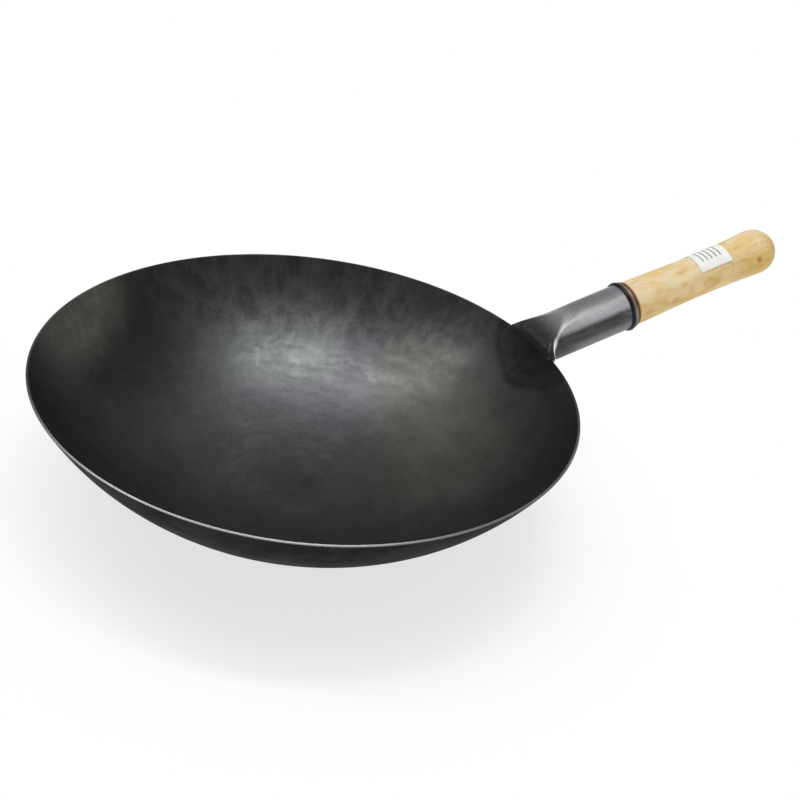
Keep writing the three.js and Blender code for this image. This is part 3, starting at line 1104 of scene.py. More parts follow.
@dataclass
class Bowl:
    """The bowl: one sheet pressed to part of an ellipse, with a small flat underneath.

    Attributes:
        rim_radius: Outer radius of the rim.
        depth: Depth of the ellipse below the rim, before the flat takes its sag.
        rim_wall_degrees: Slope of the wall at the rim.
        sheet: Thickness of the steel.
        flat_radius: Radius of the flat.
        flat_ease: Height over which the flat eases into the wall.
        edge_round: Length over which the cut edge is rounded.
        sides, steps, edge_steps: Fineness round the bowl, along the wall and over the edge.
    """

    rim_radius: float
    depth: float = 0.092
    rim_wall_degrees: float = 59.0
    sheet: float = 0.0016
    flat_radius: float = 0.022
    flat_ease: float = 0.0003
    edge_round: float = 0.00035
    sides: int = 288
    steps: int = 120
    edge_steps: int = 10

    def __post_init__(self) -> None:
        """Work out the ellipse from the rim's radius, depth and slope."""
        slope = math.tan(math.radians(self.rim_wall_degrees))
        self.rim_turn = math.acos(1.0 / (slope * self.rim_radius / self.depth - 1.0))
        self.across = self.rim_radius / math.sin(self.rim_turn)
        self.down = self.depth / (1.0 - math.cos(self.rim_turn))
        self.sag = self.down * (1.0 - math.cos(math.asin(self.flat_radius / self.across)))
        self.rim_height = self.depth - self.sag

    def wall(self, turn: Array, inwards: float) -> tuple[Array, Array]:
        """Radius and height of the wall.

        The outer wall is r = across * sin(t), z = down * (1 - cos(t)) - sag, moved inwards along its
        normal, and eased into the flat by half of e + sqrt(e * e + ease * ease).

        Args:
            turn: Turns t along the ellipse.
            inwards: Distance from the outer face.

        Returns:
            Radii and heights.
        """
        normal = unit(np.stack([self.down * np.sin(turn), -self.across * np.cos(turn)], axis=-1))
        radius = self.across * np.sin(turn) - inwards * normal[:, 0]
        height = self.down * (1.0 - np.cos(turn)) - self.sag - inwards * normal[:, 1]
        over = height - inwards
        eased = 0.5 * (over + np.sqrt(over * over + self.flat_ease * self.flat_ease))
        return radius, inwards + eased

    def wall_radius(self, height: Array) -> Array:
        """Outer radius: across * sqrt(1 - q * q), with q the share of the ellipse's height left over a point.

        Args:
            height: Heights; above the rim the radius stays the rim's.

        Returns:
            Radii.
        """
        below = np.minimum(height, self.rim_height)
        share = (self.down - self.sag - below) / self.down
        return self.across * np.sqrt(1.0 - share * share)

    def wall_normal(self, points: Array) -> Array:
        """Outward normal of the outer wall: (r / across ** 2, (z + sag - down) / down ** 2) at length 1.

        Args:
            points: Points of shape (..., 3) on the wall; above the rim the normal is level.

        Returns:
            Normals of the same shape.
        """
        out = points[..., :2] / np.linalg.norm(points[..., :2], axis=-1, keepdims=True)
        radius = np.linalg.norm(points[..., :2], axis=-1, keepdims=True)
        drop = np.where(
            points[..., 2:] < self.rim_height,
            (points[..., 2:] + self.sag - self.down) / self.down**2,
            0.0,
        )
        return unit(np.concatenate([out * radius / self.across**2, drop], axis=-1))

    def profile(self) -> tuple[Array, Array]:
        """Heights and radii up the outside, over the rounded edge and down the inside.

        The edge is a superellipse of power 4: half the sheet wide and edge_round high.

        Returns:
            Heights and radii, from the axis back to the axis.
        """
        turns = np.linspace(0.0, self.rim_turn, self.steps + 1)
        level, rise = self.across * math.cos(self.rim_turn), self.down * math.sin(self.rim_turn)
        turns[-1] -= self.edge_round / math.hypot(level, rise)
        outer_r, outer_z = self.wall(turns, 0.0)
        inner_r, inner_z = self.wall(turns, self.sheet)
        slope = math.radians(self.rim_wall_degrees)
        run = np.array([math.cos(slope), math.sin(slope)])
        start = np.array([outer_r[-1], outer_z[-1]])
        stop = np.array([inner_r[-1], inner_z[-1]])
        angle = np.linspace(0.0, np.pi, self.edge_steps + 2)[1:-1, None]
        side = np.sign(np.cos(angle)) * np.sqrt(np.abs(np.cos(angle)))
        crown = np.sqrt(np.sin(angle))
        edge = 0.5 * (start + stop) + 0.5 * (start - stop) * side + self.edge_round * run * crown
        radius = np.concatenate([outer_r, edge[:, 0], inner_r[::-1]])
        height = np.concatenate([outer_z, edge[:, 1], inner_z[::-1]])
        radius[0] = radius[-1] = 0.0
        return height, radius

    def build(self) -> None:
        """Turn the profile about +Z, and mark the outside by an attribute that is 1 there and 0 inside."""
        surface = Surface()
        height, radius = self.profile()
        surface.turn(height, radius, self.sides)
        surface.move(lambda points: points[:, [1, 2, 0]])
        self.piece = surface.piece(Node.BOWL, crease_degrees=50.0)
        row = np.arange(len(height))
        outside = 1.0 - ease(row, self.steps - 1.0, self.steps + self.edge_steps)
        values = np.concatenate([np.repeat(outside[1:-1], self.sides), outside[[0, -1]]])
        mark_points(self.piece, "outside", values)

    def dress(self) -> None:
        """Give the bowl its steel."""
        finish_piece(self.piece, Node.BOWL, BowlSteel().material(self.rim_height))


@dataclass
class HandleSocket:
    """The handle's socket: a tube whose top is pressed down to the rim at its inner end.

    Attributes:
        line: Frame of the handle.
        bowl: Bowl that the tube stands against.
        radius: Outer radius of the tube.
        sheet: Thickness of its steel.
        length: Distance along the handle to the mouth.
        press_length: Distance over which the pressed top rises to the round tube.
        press_end_height: Height of the pressed top over the axis at the rim.
        crease_rim, crease_tube: Softness of the crease at the rim and where it runs out.
        flare, flare_length: Spread of the crease along the rim and its length, on the -Y side.
        far_flare, far_flare_length: The same on the +Y side, which was spread further.
        flare_drop: Height over which the spread runs out below the crease.
        gap: Gap between the tube and the bowl.
        dark_to, flank_from, flank_to: Heights up to which the sides take painted shade, from which the flanks
            take a painted highlight, and up to which they do.
        crease_width, crease_until: Half width of the painted highlight along the crease, and where it has run
            out.
        shade_from, shade_until: Where the painted shade of the pressed top starts to fade and has run out.
        foot_until: Where the painted shade of the round foot has run out.
        side_shade, crease_highlight: Shares of painted shade along the sides and of painted highlight on and
            beside the crease.
        glint_width, glint_until: Half width of the painted glint at the crease's end, and where it has run
            out.
        press_soft: Half height over which the pressed top takes over.
        flank_under, flank_over: Softness of the upper edge of the flanks' painted highlight, below and above
            it.
        side_from, side_to: Levels between which the painted shade of the sides starts.
        crowding: Share of the even spacing that the steps keep at the rim.
        halvings: Halvings by which the line on the bowl is found.
        sides, steps: Fineness round and along the tube.
    """

    line: HandleLine
    bowl: Bowl
    radius: float = 0.0166
    sheet: float = 0.0015
    length: float = 0.0723
    press_length: float = 0.040
    press_end_height: float = 0.0002
    crease_rim: float = 0.0008
    crease_tube: float = 0.0040
    flare: float = 0.0085
    flare_length: float = 0.010
    far_flare: float = 0.0113
    far_flare_length: float = 0.019
    flare_drop: float = 0.007
    gap: float = 0.0002
    dark_to: float = 0.0066
    flank_from: float = 0.0108
    flank_to: float = 0.0146
    crease_width: float = 0.0024
    crease_until: float = 0.032
    shade_from: float = 0.005
    shade_until: float = 0.020
    foot_until: float = 0.034
    side_shade: float = 0.93
    crease_highlight: float = 0.72
    glint_width: float = 0.0045
    glint_until: float = 0.009
    press_soft: float = 0.0010
    flank_under: float = 0.0020
    flank_over: float = 0.0018
    side_from: float = -0.0045
    side_to: float = 0.0015
    crowding: float = 0.35
    halvings: int = 40
    sides: int = 192
    steps: int = 140

    def top_height(self, along: Array) -> Array:
        """Height of the pressed top: r - (r - end height) * (1 - s / press length) ** 3."""
        share = np.clip(along / self.press_length, 0.0, 1.0)
        return lerp(self.radius, self.press_end_height, (1.0 - share) ** 3)

    def section(self, along: Array, angle: Array, inwards: float) -> Array:
        """Point of the tube's skin.

        The round tube is (s, r cos a, r sin a). Its top is pressed to the top's height by the smooth least
        of two heights, half of x + y - sqrt((x - y) ** 2 + crease ** 2), which eases out along the second
        half. Near the rim the width grows at the crease, by flare * (1 - s / flare length) ** 3 on one side
        and by far flare * (1 - s / far flare length) ** 2 on the other.

        Args:
            along: Distances s along the handle.
            angle: Angles a round the tube.
            inwards: Distance inside the outer skin.

        Returns:
            Points (s, w, h).
        """
        share = np.clip(along / self.press_length, 0.0, 1.0)
        width = (self.radius - inwards) * np.cos(angle)
        height = (self.radius - inwards) * np.sin(angle)
        top = self.top_height(along) - inwards
        crease = lerp(self.crease_rim, self.crease_tube, share)
        least = 0.5 * (height + top - np.sqrt((height - top) ** 2 + crease**2))
        pressed = height + (least - height) * (1.0 - ease(share, 0.5, 1.0))
        spread = self.flare * (1.0 - np.clip(along / self.flare_length, 0.0, 1.0)) ** 3
        far_spread = self.far_flare * (1.0 - np.clip(along / self.far_flare_length, 0.0, 1.0)) ** 2
        spread = lerp(spread, far_spread, ease(np.cos(angle), -0.3, 0.3))
        spread = spread * ease(height, top - self.flare_drop, top) / self.radius
        return np.stack([along + 0.0 * angle, width * (1.0 + spread), pressed], axis=-1)

    def rim_line(self, angle: Array, inwards: float) -> Array:
        """Distance along the handle at which each line of the skin meets the bowl, by halving.

        Args:
            angle: Angles round the tube.
            inwards: Distance inside the outer skin.

        Returns:
            Distances along the handle.
        """
        low = np.full(angle.shape, -2.0 * self.radius)
        high = np.full(angle.shape, self.press_length)
        for _ in range(self.halvings):
            middle = 0.5 * (low + high)
            points = self.line.place(self.section(middle, angle, inwards))
            out = np.hypot(points[..., 0], points[..., 1])
            clear = out > self.bowl.wall_radius(points[..., 2]) + self.gap
            low, high = np.where(clear, low, middle), np.where(clear, middle, high)
        return high

    def outward(self, along: Array, angle: Array, step: float = 1e-5) -> Array:
        """Outward direction of the skin: the cross product of its slopes round and along the tube.

        Args:
            along: Distances along the handle.
            angle: Angles round the tube.
            step: Step of the differences.

        Returns:
            Directions in the frame of the model.
        """
        turn = step / self.radius
        round_it = self.section(along, angle + turn, 0.0) - self.section(along, angle - turn, 0.0)
        along_it = self.section(along + step, angle, 0.0) - self.section(along - step, angle, 0.0)
        return self.line.place(unit(np.cross(round_it, along_it))) - np.array(self.line.start)

    def marks(self, along: Array, angle: Array) -> tuple[Array, Array, Array]:
        """Painted highlight, painted glint and painted shade of the skin.

        The level is the height that the round tube would have, r sin a, and the press is how far that
        lies over the pressed top. The flanks take a painted highlight between two levels, and so does
        the crease where the press is near 0. The crease's end on the -Y side takes a painted glint. Painted
        shade covers the sides below the flanks, and fades from the rim along the foot.

        Args:
            along: Distances s along the handle.
            angle: Angles a round the tube.

        Returns:
            Painted highlight, painted glint and painted shade, each from 0 to 1.
        """
        level = self.radius * np.sin(angle)
        press = level - self.top_height(along)
        pressed = ease(press, -self.press_soft, self.press_soft)
        # Painted shade up to one level round the tube, and a painted highlight on the flanks above it.
        lower = ease(level, self.dark_to, self.flank_from)
        upper = ease(level, self.flank_to - self.flank_under, self.flank_to + self.flank_over)
        # Painted highlight along the crease.
        crease = 1.0 - ease(np.abs(press), 0.0, self.crease_width)
        crease = crease * (1.0 - ease(along, 0.5 * self.crease_until, self.crease_until))
        flank = lower * (1.0 - upper) * (1.0 - pressed)
        past = ease(along, 0.7 * self.crease_until, 1.4 * self.crease_until)
        flank = flank * lerp(self.crease_highlight, 1.0, past)
        painted_highlight = np.maximum(flank, self.crease_highlight * crease)
        # Painted glint at the crease's end, on the -Y side only.
        bare_and_glint = 1.0 - ease(np.abs(press), 0.3 * self.glint_width, self.glint_width)
        bare_and_glint = bare_and_glint * (1.0 - ease(along, 0.5 * self.glint_until, self.glint_until)) * (np.cos(angle) < 0.0)
        # Painted shade along the sides, and near the rim on the pressed top and the foot.
        side = self.side_shade * ease(level, self.side_from, self.side_to)
        side = side * (1.0 - lower) * (1.0 - pressed)
        rim = 1.0 - ease(along, self.shade_from, self.shade_until)
        foot = 1.0 - ease(along, 0.3 * self.foot_until, self.foot_until)
        scale = np.maximum(side, lerp(foot, rim, pressed))
        return painted_highlight, bare_and_glint, scale * (1.0 - crease)

    def build(self) -> None:
        """Run the outer skin from the rim to the mouth and the inner skin back, and mark both."""
        angle = angles(self.sides)
        share = np.linspace(0.0, 1.0, self.steps + 1)[:, None]
        share = share * (self.crowding + (1.0 - self.crowding) * share)
        skins, marks = [], []
        for inwards in (0.0, self.sheet):
            start = self.rim_line(angle, inwards)
            along = start + (self.length - start) * share
            skins.append(self.section(along, np.broadcast_to(angle, along.shape), inwards))
            marks.append(np.stack(self.marks(along, np.broadcast_to(angle, along.shape))))
        surface = Surface()
        surface.skin(self.line.place(np.concatenate([skins[0], skins[1][::-1]])), True)
        self.piece = surface.piece(Node.SOCKET, crease_degrees=50.0)
        both = np.concatenate([marks[0], marks[1][:, ::-1]], axis=1)
        for name, values in zip(("painted_highlight", "bare_and_glint", "scale"), both):
            mark_points(self.piece, name, values)

    def dress(self) -> None:
        """Give the tube its steel."""
        material = SocketSteel().material(self.line, self.length)
        finish_piece(self.piece, Node.SOCKET, material)


@dataclass
class Weld:
    """The weld: a smooth bead round the tube's inner end, and a ground patch over the rim.

    Attributes:
        socket: Tube that is welded on.
        bead: Radius of the bead.
        seat: Distance of the bead's middle from the corner that it fills.
        top_share: Share of both over the pressed top.
        fade_from, fade_to: Depths below the handle's axis between which they shrink to that share.
        ripple: Length of one ripple.
        ripple_share: Share of the radius by which ripples swell.
        patch_low, patch_high: How far the patch reaches down the bowl's wall and up the pressed top.
        patch_half: Half the patch's width on the pressed top.
        proud: Height of the patch over the sheets that it joins.
        root: Depth of the patch between them.
        path_points: Points of the line on which even lengths are found.
        around, along: Fineness round the bead and along it.
    """

    socket: HandleSocket
    bead: float = 0.0022
    seat: float = 0.0011
    top_share: float = 0.10
    fade_from: float = 0.0100
    fade_to: float = 0.0020
    ripple: float = 0.0031
    ripple_share: float = 0.03
    patch_low: float = 0.0016
    patch_high: float = 0.0045
    patch_half: float = 0.0165
    proud: float = 0.00012
    root: float = 0.0011
    path_points: int = 4001
    around: int = 20
    along: int = 480

    def swell(self, length: Array) -> Array:
        """Ripples along the bead: 1 + share * (sin(p) + half of sin(0.37 p + 1)), p by ripple length."""
        phase = 2.0 * np.pi * length / self.ripple
        return 1.0 + self.ripple_share * (np.sin(phase) + 0.5 * np.sin(0.37 * phase + 1.0))

    def ring_bead(self, surface: Surface) -> None:
        """Carry a circle round the line where the tube meets the bowl.

        The line is walked at even lengths. The circle lies in the plane of the tube's outward
        direction and the bowl's, a little out along both.

        Args:
            surface: Surface that takes the bead.
        """
        angle = np.linspace(0.0, 2.0 * np.pi, self.path_points)
        path = self.socket.line.place(self.socket.section(self.socket.rim_line(angle, 0.0), angle, 0.0))
        length = np.concatenate([[0.0], np.cumsum(np.linalg.norm(np.diff(path, axis=0), axis=1))])
        even = np.linspace(0.0, length[-1], self.along + 1)[:-1]
        spread = np.interp(even, length, angle)
        start = self.socket.rim_line(spread, 0.0)
        path = self.socket.line.place(self.socket.section(start, spread, 0.0))
        off_tube = self.socket.outward(start, spread)
        off_bowl = self.socket.bowl.wall_normal(path)
        height = self.socket.section(start, spread, 0.0)[:, 2]
        share = lerp(1.0, self.top_share, ease(height, -self.fade_from, -self.fade_to))
        reach = (share * self.bead * self.swell(even))[:, None]
        seat = (share * self.seat)[:, None]
        beta = -angles(self.around)
        first = (seat + reach * np.cos(beta))[..., None] * off_tube[:, None, :]
        second = (seat + reach * np.sin(beta))[..., None] * off_bowl[:, None, :]
        surface.skin(path[:, None, :] + first + second, True)

    def rim_patch(self, surface: Surface) -> None:
        """Bridge the rim from the bowl's inner wall to the pressed top.

        Each row is a cubic curve that leaves the wall along its slope and meets the pressed top along its
        own: (1-v)^3 a + 3 (1-v)^2 v b + 3 (1-v) v^2 c + v^3 d. It goes back underneath, lower by
        root * 4 v (1-v). Both fade to the rim at the ends by the square root of 1 - u ** 6.

        Args:
            surface: Surface that takes the patch.
        """
        u = np.linspace(-1.0, 1.0, self.along // 2)[1:-1, None]
        fade = np.sqrt(1.0 - u**6)
        bowl, tube = self.socket.bowl, self.socket
        slope = math.radians(bowl.rim_wall_degrees)
        turn = u * np.where(u > 0.0, tube.radius + tube.far_flare, tube.radius + tube.flare) / bowl.rim_radius
        out = np.stack([np.cos(turn), np.sin(turn), 0.0 * turn], axis=-1)
        run = math.cos(slope) * out + np.array([0.0, 0.0, math.sin(slope)])
        lift = math.cos(slope) * np.array([0.0, 0.0, 1.0]) - math.sin(slope) * out
        rim = bowl.rim_radius * out + np.array([0.0, 0.0, bowl.rim_height])
        edge = rim + bowl.sheet * lift
        low = edge + self.proud * lift - self.patch_low * fade[..., None] * run
        along = self.patch_high * fade
        top = tube.top_height(along) + self.proud
        high = tube.line.place(np.stack([along, u * self.patch_half + 0.0 * along, top], axis=-1))
        step = 1e-4
        ahead = tube.top_height(along + step) - tube.top_height(along)
        steep = unit(np.stack([0.0 * along + step, 0.0 * along, ahead], axis=-1))
        steep = tube.line.place(steep) - np.array(tube.line.start)
        span = np.linalg.norm(high - low, axis=-1, keepdims=True) / 3.0
        v = np.linspace(0.0, 1.0, self.around // 2 + 1)[None, :, None]
        curve = (1.0 - v) ** 3 * low + 3.0 * (1.0 - v) ** 2 * v * (low + span * run)
        curve = curve + 3.0 * (1.0 - v) * v**2 * (high - span * steep) + v**3 * high
        under = curve - self.root * 4.0 * v * (1.0 - v) * fade[..., None] * lift
        rows = np.concatenate([curve, under[:, -2:0:-1]], axis=1)
        first = surface.skin(rows)
        count = rows.shape[1]
        surface.cap(first, count, rows[0].mean(axis=0), True)
        surface.cap(first + (len(rows) - 1) * count, count, rows[-1].mean(axis=0), False)

    def build(self) -> None:
        """Make the bead and the patch as one piece."""
        surface = Surface()
        self.ring_bead(surface)
        self.rim_patch(surface)
        self.piece = surface.piece(Node.WELD, crease_degrees=60.0)

    def dress(self) -> None:
        """Give the weld its steel."""
        finish_piece(self.piece, Node.WELD, WeldSteel().material(self.socket.line))


@dataclass
class Collar:
    """The ring over the socket's mouth: a bead, then a plain neck.

    Attributes:
        line: Frame of the handle.
        start, end: Distances along the handle where the ring starts and ends.
        step: Distance along the handle where its bore narrows past the tube's end.
        black_end: Distance along the handle where the bead's black ends.
        neck_start: Distance along the handle where the bead ends.
        over_tube, over_tenon: Radii of its bore.
        side, neck: Outer radii of the bead's foot and of the neck.
        bead_height: Height of the bead.
        corner: Rounding of the neck's end.
        sides, steps, corner_steps: Fineness round the ring, along the bead and over the corner.
    """

    line: HandleLine
    start: float = 0.0700
    end: float = 0.0758
    step: float = 0.0726
    black_end: float = 0.0722
    neck_start: float = 0.0735
    over_tube: float = 0.0169
    over_tenon: float = 0.0151
    side: float = 0.0174
    neck: float = 0.0172
    bead_height: float = 0.0008
    corner: float = 0.0003
    sides: int = 144
    steps: int = 28
    corner_steps: int = 4

    def build(self) -> None:
        """Turn the ring's profile: the bead is height * (1 - (2 t - 1) ** 2) over its length."""
        t = np.linspace(0.0, 1.0, self.steps + 1)
        bead_s = lerp(self.start, self.neck_start, t)
        bead_r = self.side + self.bead_height * (1.0 - (2.0 * t - 1.0) ** 2)
        angle = np.linspace(0.0, 0.5 * np.pi, self.corner_steps + 1)
        end_s = self.end - self.corner + self.corner * np.sin(angle)
        end_r = self.neck - self.corner + self.corner * np.cos(angle)
        bore_s = np.array([self.end, self.step, self.step, self.start])
        bore_r = np.array([self.over_tenon, self.over_tenon, self.over_tube, self.over_tube])
        surface = Surface()
        surface.turn(
            np.concatenate([bead_s, [self.neck_start], end_s, bore_s]),
            np.concatenate([bead_r, [self.neck], end_r, bore_r]),
            self.sides,
            True,
        )
        surface.move(self.line.place)
        self.piece = surface.piece(Node.COLLAR, crease_degrees=40.0)

    def dress(self) -> None:
        """Give the ring its steel."""
        material = CollarSteel().material(self.line, self.black_end, self.end)
        finish_piece(self.piece, Node.COLLAR, material)


@dataclass
class Grip:
    """The turned wooden grip: a tenon inside the socket, a waisted body and a rounded end.

    Attributes:
        line: Frame of the handle.
        tenon_start, tenon_radius, tenon_chamfer: Place and size of the tenon.
        shoulder, shoulder_radius, chamfer: Place and size of the body's start.
        waist_at, waist_radius: Place and radius of the waist.
        bulb_at, bulb_radius: Place and radius of the bulb.
        tip: Distance along the handle of the grip's end.
        sides, steps, end_steps: Fineness round the grip, along its side and over its end.
    """

    line: HandleLine
    tenon_start: float = 0.043
    tenon_radius: float = 0.0148
    tenon_chamfer: float = 0.0015
    shoulder: float = 0.0761
    shoulder_radius: float = 0.0162
    chamfer: float = 0.0008
    waist_at: float = 0.1401
    waist_radius: float = 0.0149
    bulb_at: float = 0.1881
    bulb_radius: float = 0.0164
    tip: float = 0.2051
    sides: int = 144
    steps: int = 140
    end_steps: int = 36

    def side(self, count: int) -> tuple[Array, Array]:
        """Side of the body: a uniform spline through shoulder, waist and bulb.

        Each half is a cubic with the ends' slopes of half the difference of their neighbours.

        Args:
            count: Number of steps.

        Returns:
            Distances along the handle and radii.
        """
        knots = np.array([
            [self.shoulder + self.chamfer, self.shoulder_radius],
            [self.waist_at, self.waist_radius],
            [self.bulb_at, self.bulb_radius],
        ])
        slopes = 0.5 * np.array([knots[1] - knots[0], knots[2] - knots[0], knots[2] - knots[1]])
        t = np.linspace(0.0, 2.0, count + 1)
        half = np.minimum(t.astype(int), 1)
        u = (t - half)[:, None]
        first, last = knots[half], knots[half + 1]
        rise, fall = slopes[half], slopes[half + 1]
        cubic = (2.0 * first - 2.0 * last + rise + fall) * u**3
        square = (3.0 * last - 3.0 * first - 2.0 * rise - fall) * u**2
        line = cubic + square + rise * u + first
        return line[:, 0], line[:, 1]

    def radius_at(self, along: Array) -> Array:
        """Radius of the body's side at distances along the handle."""
        return np.interp(along, *self.side(self.steps))

    def build(self) -> None:
        """Turn the grip's profile; its end is a quarter of an ellipse."""
        side_s, side_r = self.side(self.steps)
        angle = np.linspace(0.0, 0.5 * np.pi, self.end_steps + 1)[1:]
        end_s = self.bulb_at + (self.tip - self.bulb_at) * np.sin(angle)
        end_r = self.bulb_radius * np.cos(angle)
        start_s = np.array([0.0, 0.0, self.tenon_chamfer]) + self.tenon_start
        start_r = np.array([0.0, self.tenon_radius - self.tenon_chamfer, self.tenon_radius])
        shoulder_s = np.array([self.shoulder, self.shoulder])
        shoulder_r = np.array([self.tenon_radius, self.shoulder_radius - self.chamfer])
        surface = Surface()
        surface.turn(
            np.concatenate([start_s, shoulder_s, side_s, end_s]),
            np.concatenate([start_r, shoulder_r, side_r, end_r]),
            self.sides,
        )
        surface.move(self.line.place)
        self.piece = surface.piece(Node.GRIP, crease_degrees=35.0)

    def dress(self) -> None:
        """Give the grip its wood."""
        material = GripWood().material(self.line, self.shoulder)
        finish_piece(self.piece, Node.GRIP, material)


@dataclass
class Screw:
    """The screw through the socket into the tenon: a domed head with a cross recess, on a shank.

    Attributes:
        line: Frame of the handle.
        at: Distance along the handle.
        turn_degrees: Turn of the screw about the handle, from straight up towards +Y.
        tip, seat: Distances of its tip and of its head's seat from the handle's axis.
        shank: Radius of the shank.
        head, head_height: Radius and height of the head.
        slot_half_width, slot_reach, slot_depth: Size of the recess.
        slot_soft, slot_end: Share of the half width over which its sides slope, and share of its reach at
            which its ends start to rise.
        sides, steps: Fineness round the screw and over its head.
    """

    line: HandleLine
    at: float = 0.0543
    turn_degrees: float = 150.0
    tip: float = 0.0051
    seat: float = 0.0168
    shank: float = 0.0018
    head: float = 0.0036
    head_height: float = 0.0018
    slot_half_width: float = 0.00042
    slot_reach: float = 0.0021
    slot_depth: float = 0.0010
    slot_soft: float = 0.3
    slot_end: float = 0.75
    sides: int = 96
    steps: int = 40

    def build(self) -> None:
        """Turn the screw's profile, then sink a cross into its head.

        The dome's height over its seat is (1 - (1 - t) ** 2) where its radius is head * (1 - t * t).
        The cross sinks points by its depth where the smaller of |y| and |z| lies inside its half width
        and the larger inside its reach.
        """
        t = np.linspace(0.0, 1.0, self.steps + 1)
        dome_s = self.seat + self.head_height * (1.0 - (1.0 - t) ** 2)
        dome_r = self.head * (1.0 - t * t)
        shank_s = np.array([self.tip, self.tip + self.shank, self.seat])
        shank_r = np.array([0.0, self.shank, self.shank])
        surface = Surface()
        surface.turn(np.concatenate([shank_s, dome_s]), np.concatenate([shank_r, dome_r]), self.sides)
        surface.move(self.sink)
        surface.move(self.stand)
        self.piece = surface.piece(Node.SCREW, crease_degrees=35.0)

    def sink(self, points: Array) -> Array:
        """Sink the cross recess into the head.

        Args:
            points: Points of the screw about its own axis.

        Returns:
            The moved points.
        """
        near = np.minimum(np.abs(points[:, 1]), np.abs(points[:, 2]))
        far = np.maximum(np.abs(points[:, 1]), np.abs(points[:, 2]))
        slope = self.slot_half_width * self.slot_soft
        inside = 1.0 - ease(near, self.slot_half_width - slope, self.slot_half_width + slope)
        inside = inside * (1.0 - ease(far, self.slot_reach * self.slot_end, self.slot_reach))
        moved = points.copy()
        moved[:, 0] -= self.slot_depth * inside * (points[:, 0] > self.seat)
        return moved

    def stand(self, points: Array) -> Array:
        """Stand the screw on the handle: its own axis becomes the turned direction from the handle's.

        Args:
            points: Points of the screw about its own axis.

        Returns:
            Points in the frame of the model.
        """
        turn = math.radians(self.turn_degrees)
        out = np.array([0.0, math.sin(turn), math.cos(turn)])
        aside = np.array([0.0, math.cos(turn), -math.sin(turn)])
        ahead = np.cross(out, aside)
        local = points @ np.array([out, aside, ahead]) + np.array([self.at, 0.0, 0.0])
        return self.line.place(local)

    def dress(self) -> None:
        """Give the screw its plating."""
        finish_piece(self.piece, Node.SCREW, ScrewSteel().material())


@dataclass
class Label:
    """The paper label wrapped over the top of the grip, with one corner lifting a little.

    Attributes:
        grip: Grip that it is stuck to.
        start, end: Distances along the handle.
        half_turn_degrees: Half of the turn that it covers.
        turn_degrees: Turn of its middle from straight up, towards +Y.
        seat: Gap to the wood.
        sheet: Thickness of the paper.
        lift: Height of the lifting corner.
        rows, columns: Fineness.
    """

    grip: Grip
    start: float = 0.1341
    end: float = 0.1606
    half_turn_degrees: float = 46.0
    turn_degrees: float = -3.0
    seat: float = 0.0002
    sheet: float = 0.00025
    lift: float = 0.0006
    rows: int = 56
    columns: int = 64

    def build(self) -> None:
        """Wrap the sheet: point (s, r sin a, r cos a), with r the grip's radius there and the seat.

        The corner lifts by lift * (u * v) ** 6, with u and v the shares along and across.
        """
        u = np.linspace(0.0, 1.0, self.rows + 1)[:, None]
        v = np.linspace(0.0, 1.0, self.columns + 1)[None, :]
        along = lerp(self.start, self.end, u) + 0.0 * v
        half = math.radians(self.half_turn_degrees)
        turn = math.radians(self.turn_degrees) + lerp(half, -half, v) + 0.0 * u
        under = self.grip.radius_at(along) + self.seat + self.lift * (u * v) ** 6
        grids = []
        for radius in (under, under + self.sheet):
            local = np.stack([along, radius * np.sin(turn), radius * np.cos(turn)], axis=-1)
            grids.append(self.grip.line.place(local))
        surface = Surface()
        top = surface.sheet(grids[1])
        bottom = surface.sheet(grids[0])
        surface.faces[-1] = surface.faces[-1][:, ::-1]
        at = np.arange(grids[0].shape[0] * grids[0].shape[1]).reshape(grids[0].shape[:2])
        edge = np.concatenate([at[0, :-1], at[:-1, -1], at[-1, :0:-1], at[:0:-1, 0]])
        after = np.roll(edge, -1)
        surface.faces.append(np.stack([top + after, top + edge, bottom + edge, bottom + after], axis=-1))
        self.piece = surface.piece(Node.LABEL, crease_degrees=50.0)
        self.map_sheet(np.tile(np.stack([u + 0.0 * v, v + 0.0 * u], axis=-1).reshape(-1, 2), (2, 1)))

    def map_sheet(self, shares: Array) -> None:
        """Give the sheet its map.

        Args:
            shares: Shares along and across the sheet, for each point.
        """
        mesh = self.piece.data
        corners = np.empty(len(mesh.loops), dtype=np.int32)
        mesh.loops.foreach_get("vertex_index", corners)
        layer = mesh.uv_layers.new(name="sheet")
        layer.data.foreach_set("uv", shares[corners].astype(np.float32).ravel())

    def dress(self) -> None:
        """Give the label its paper."""
        finish_piece(self.piece, Node.LABEL, LabelPaper().material())


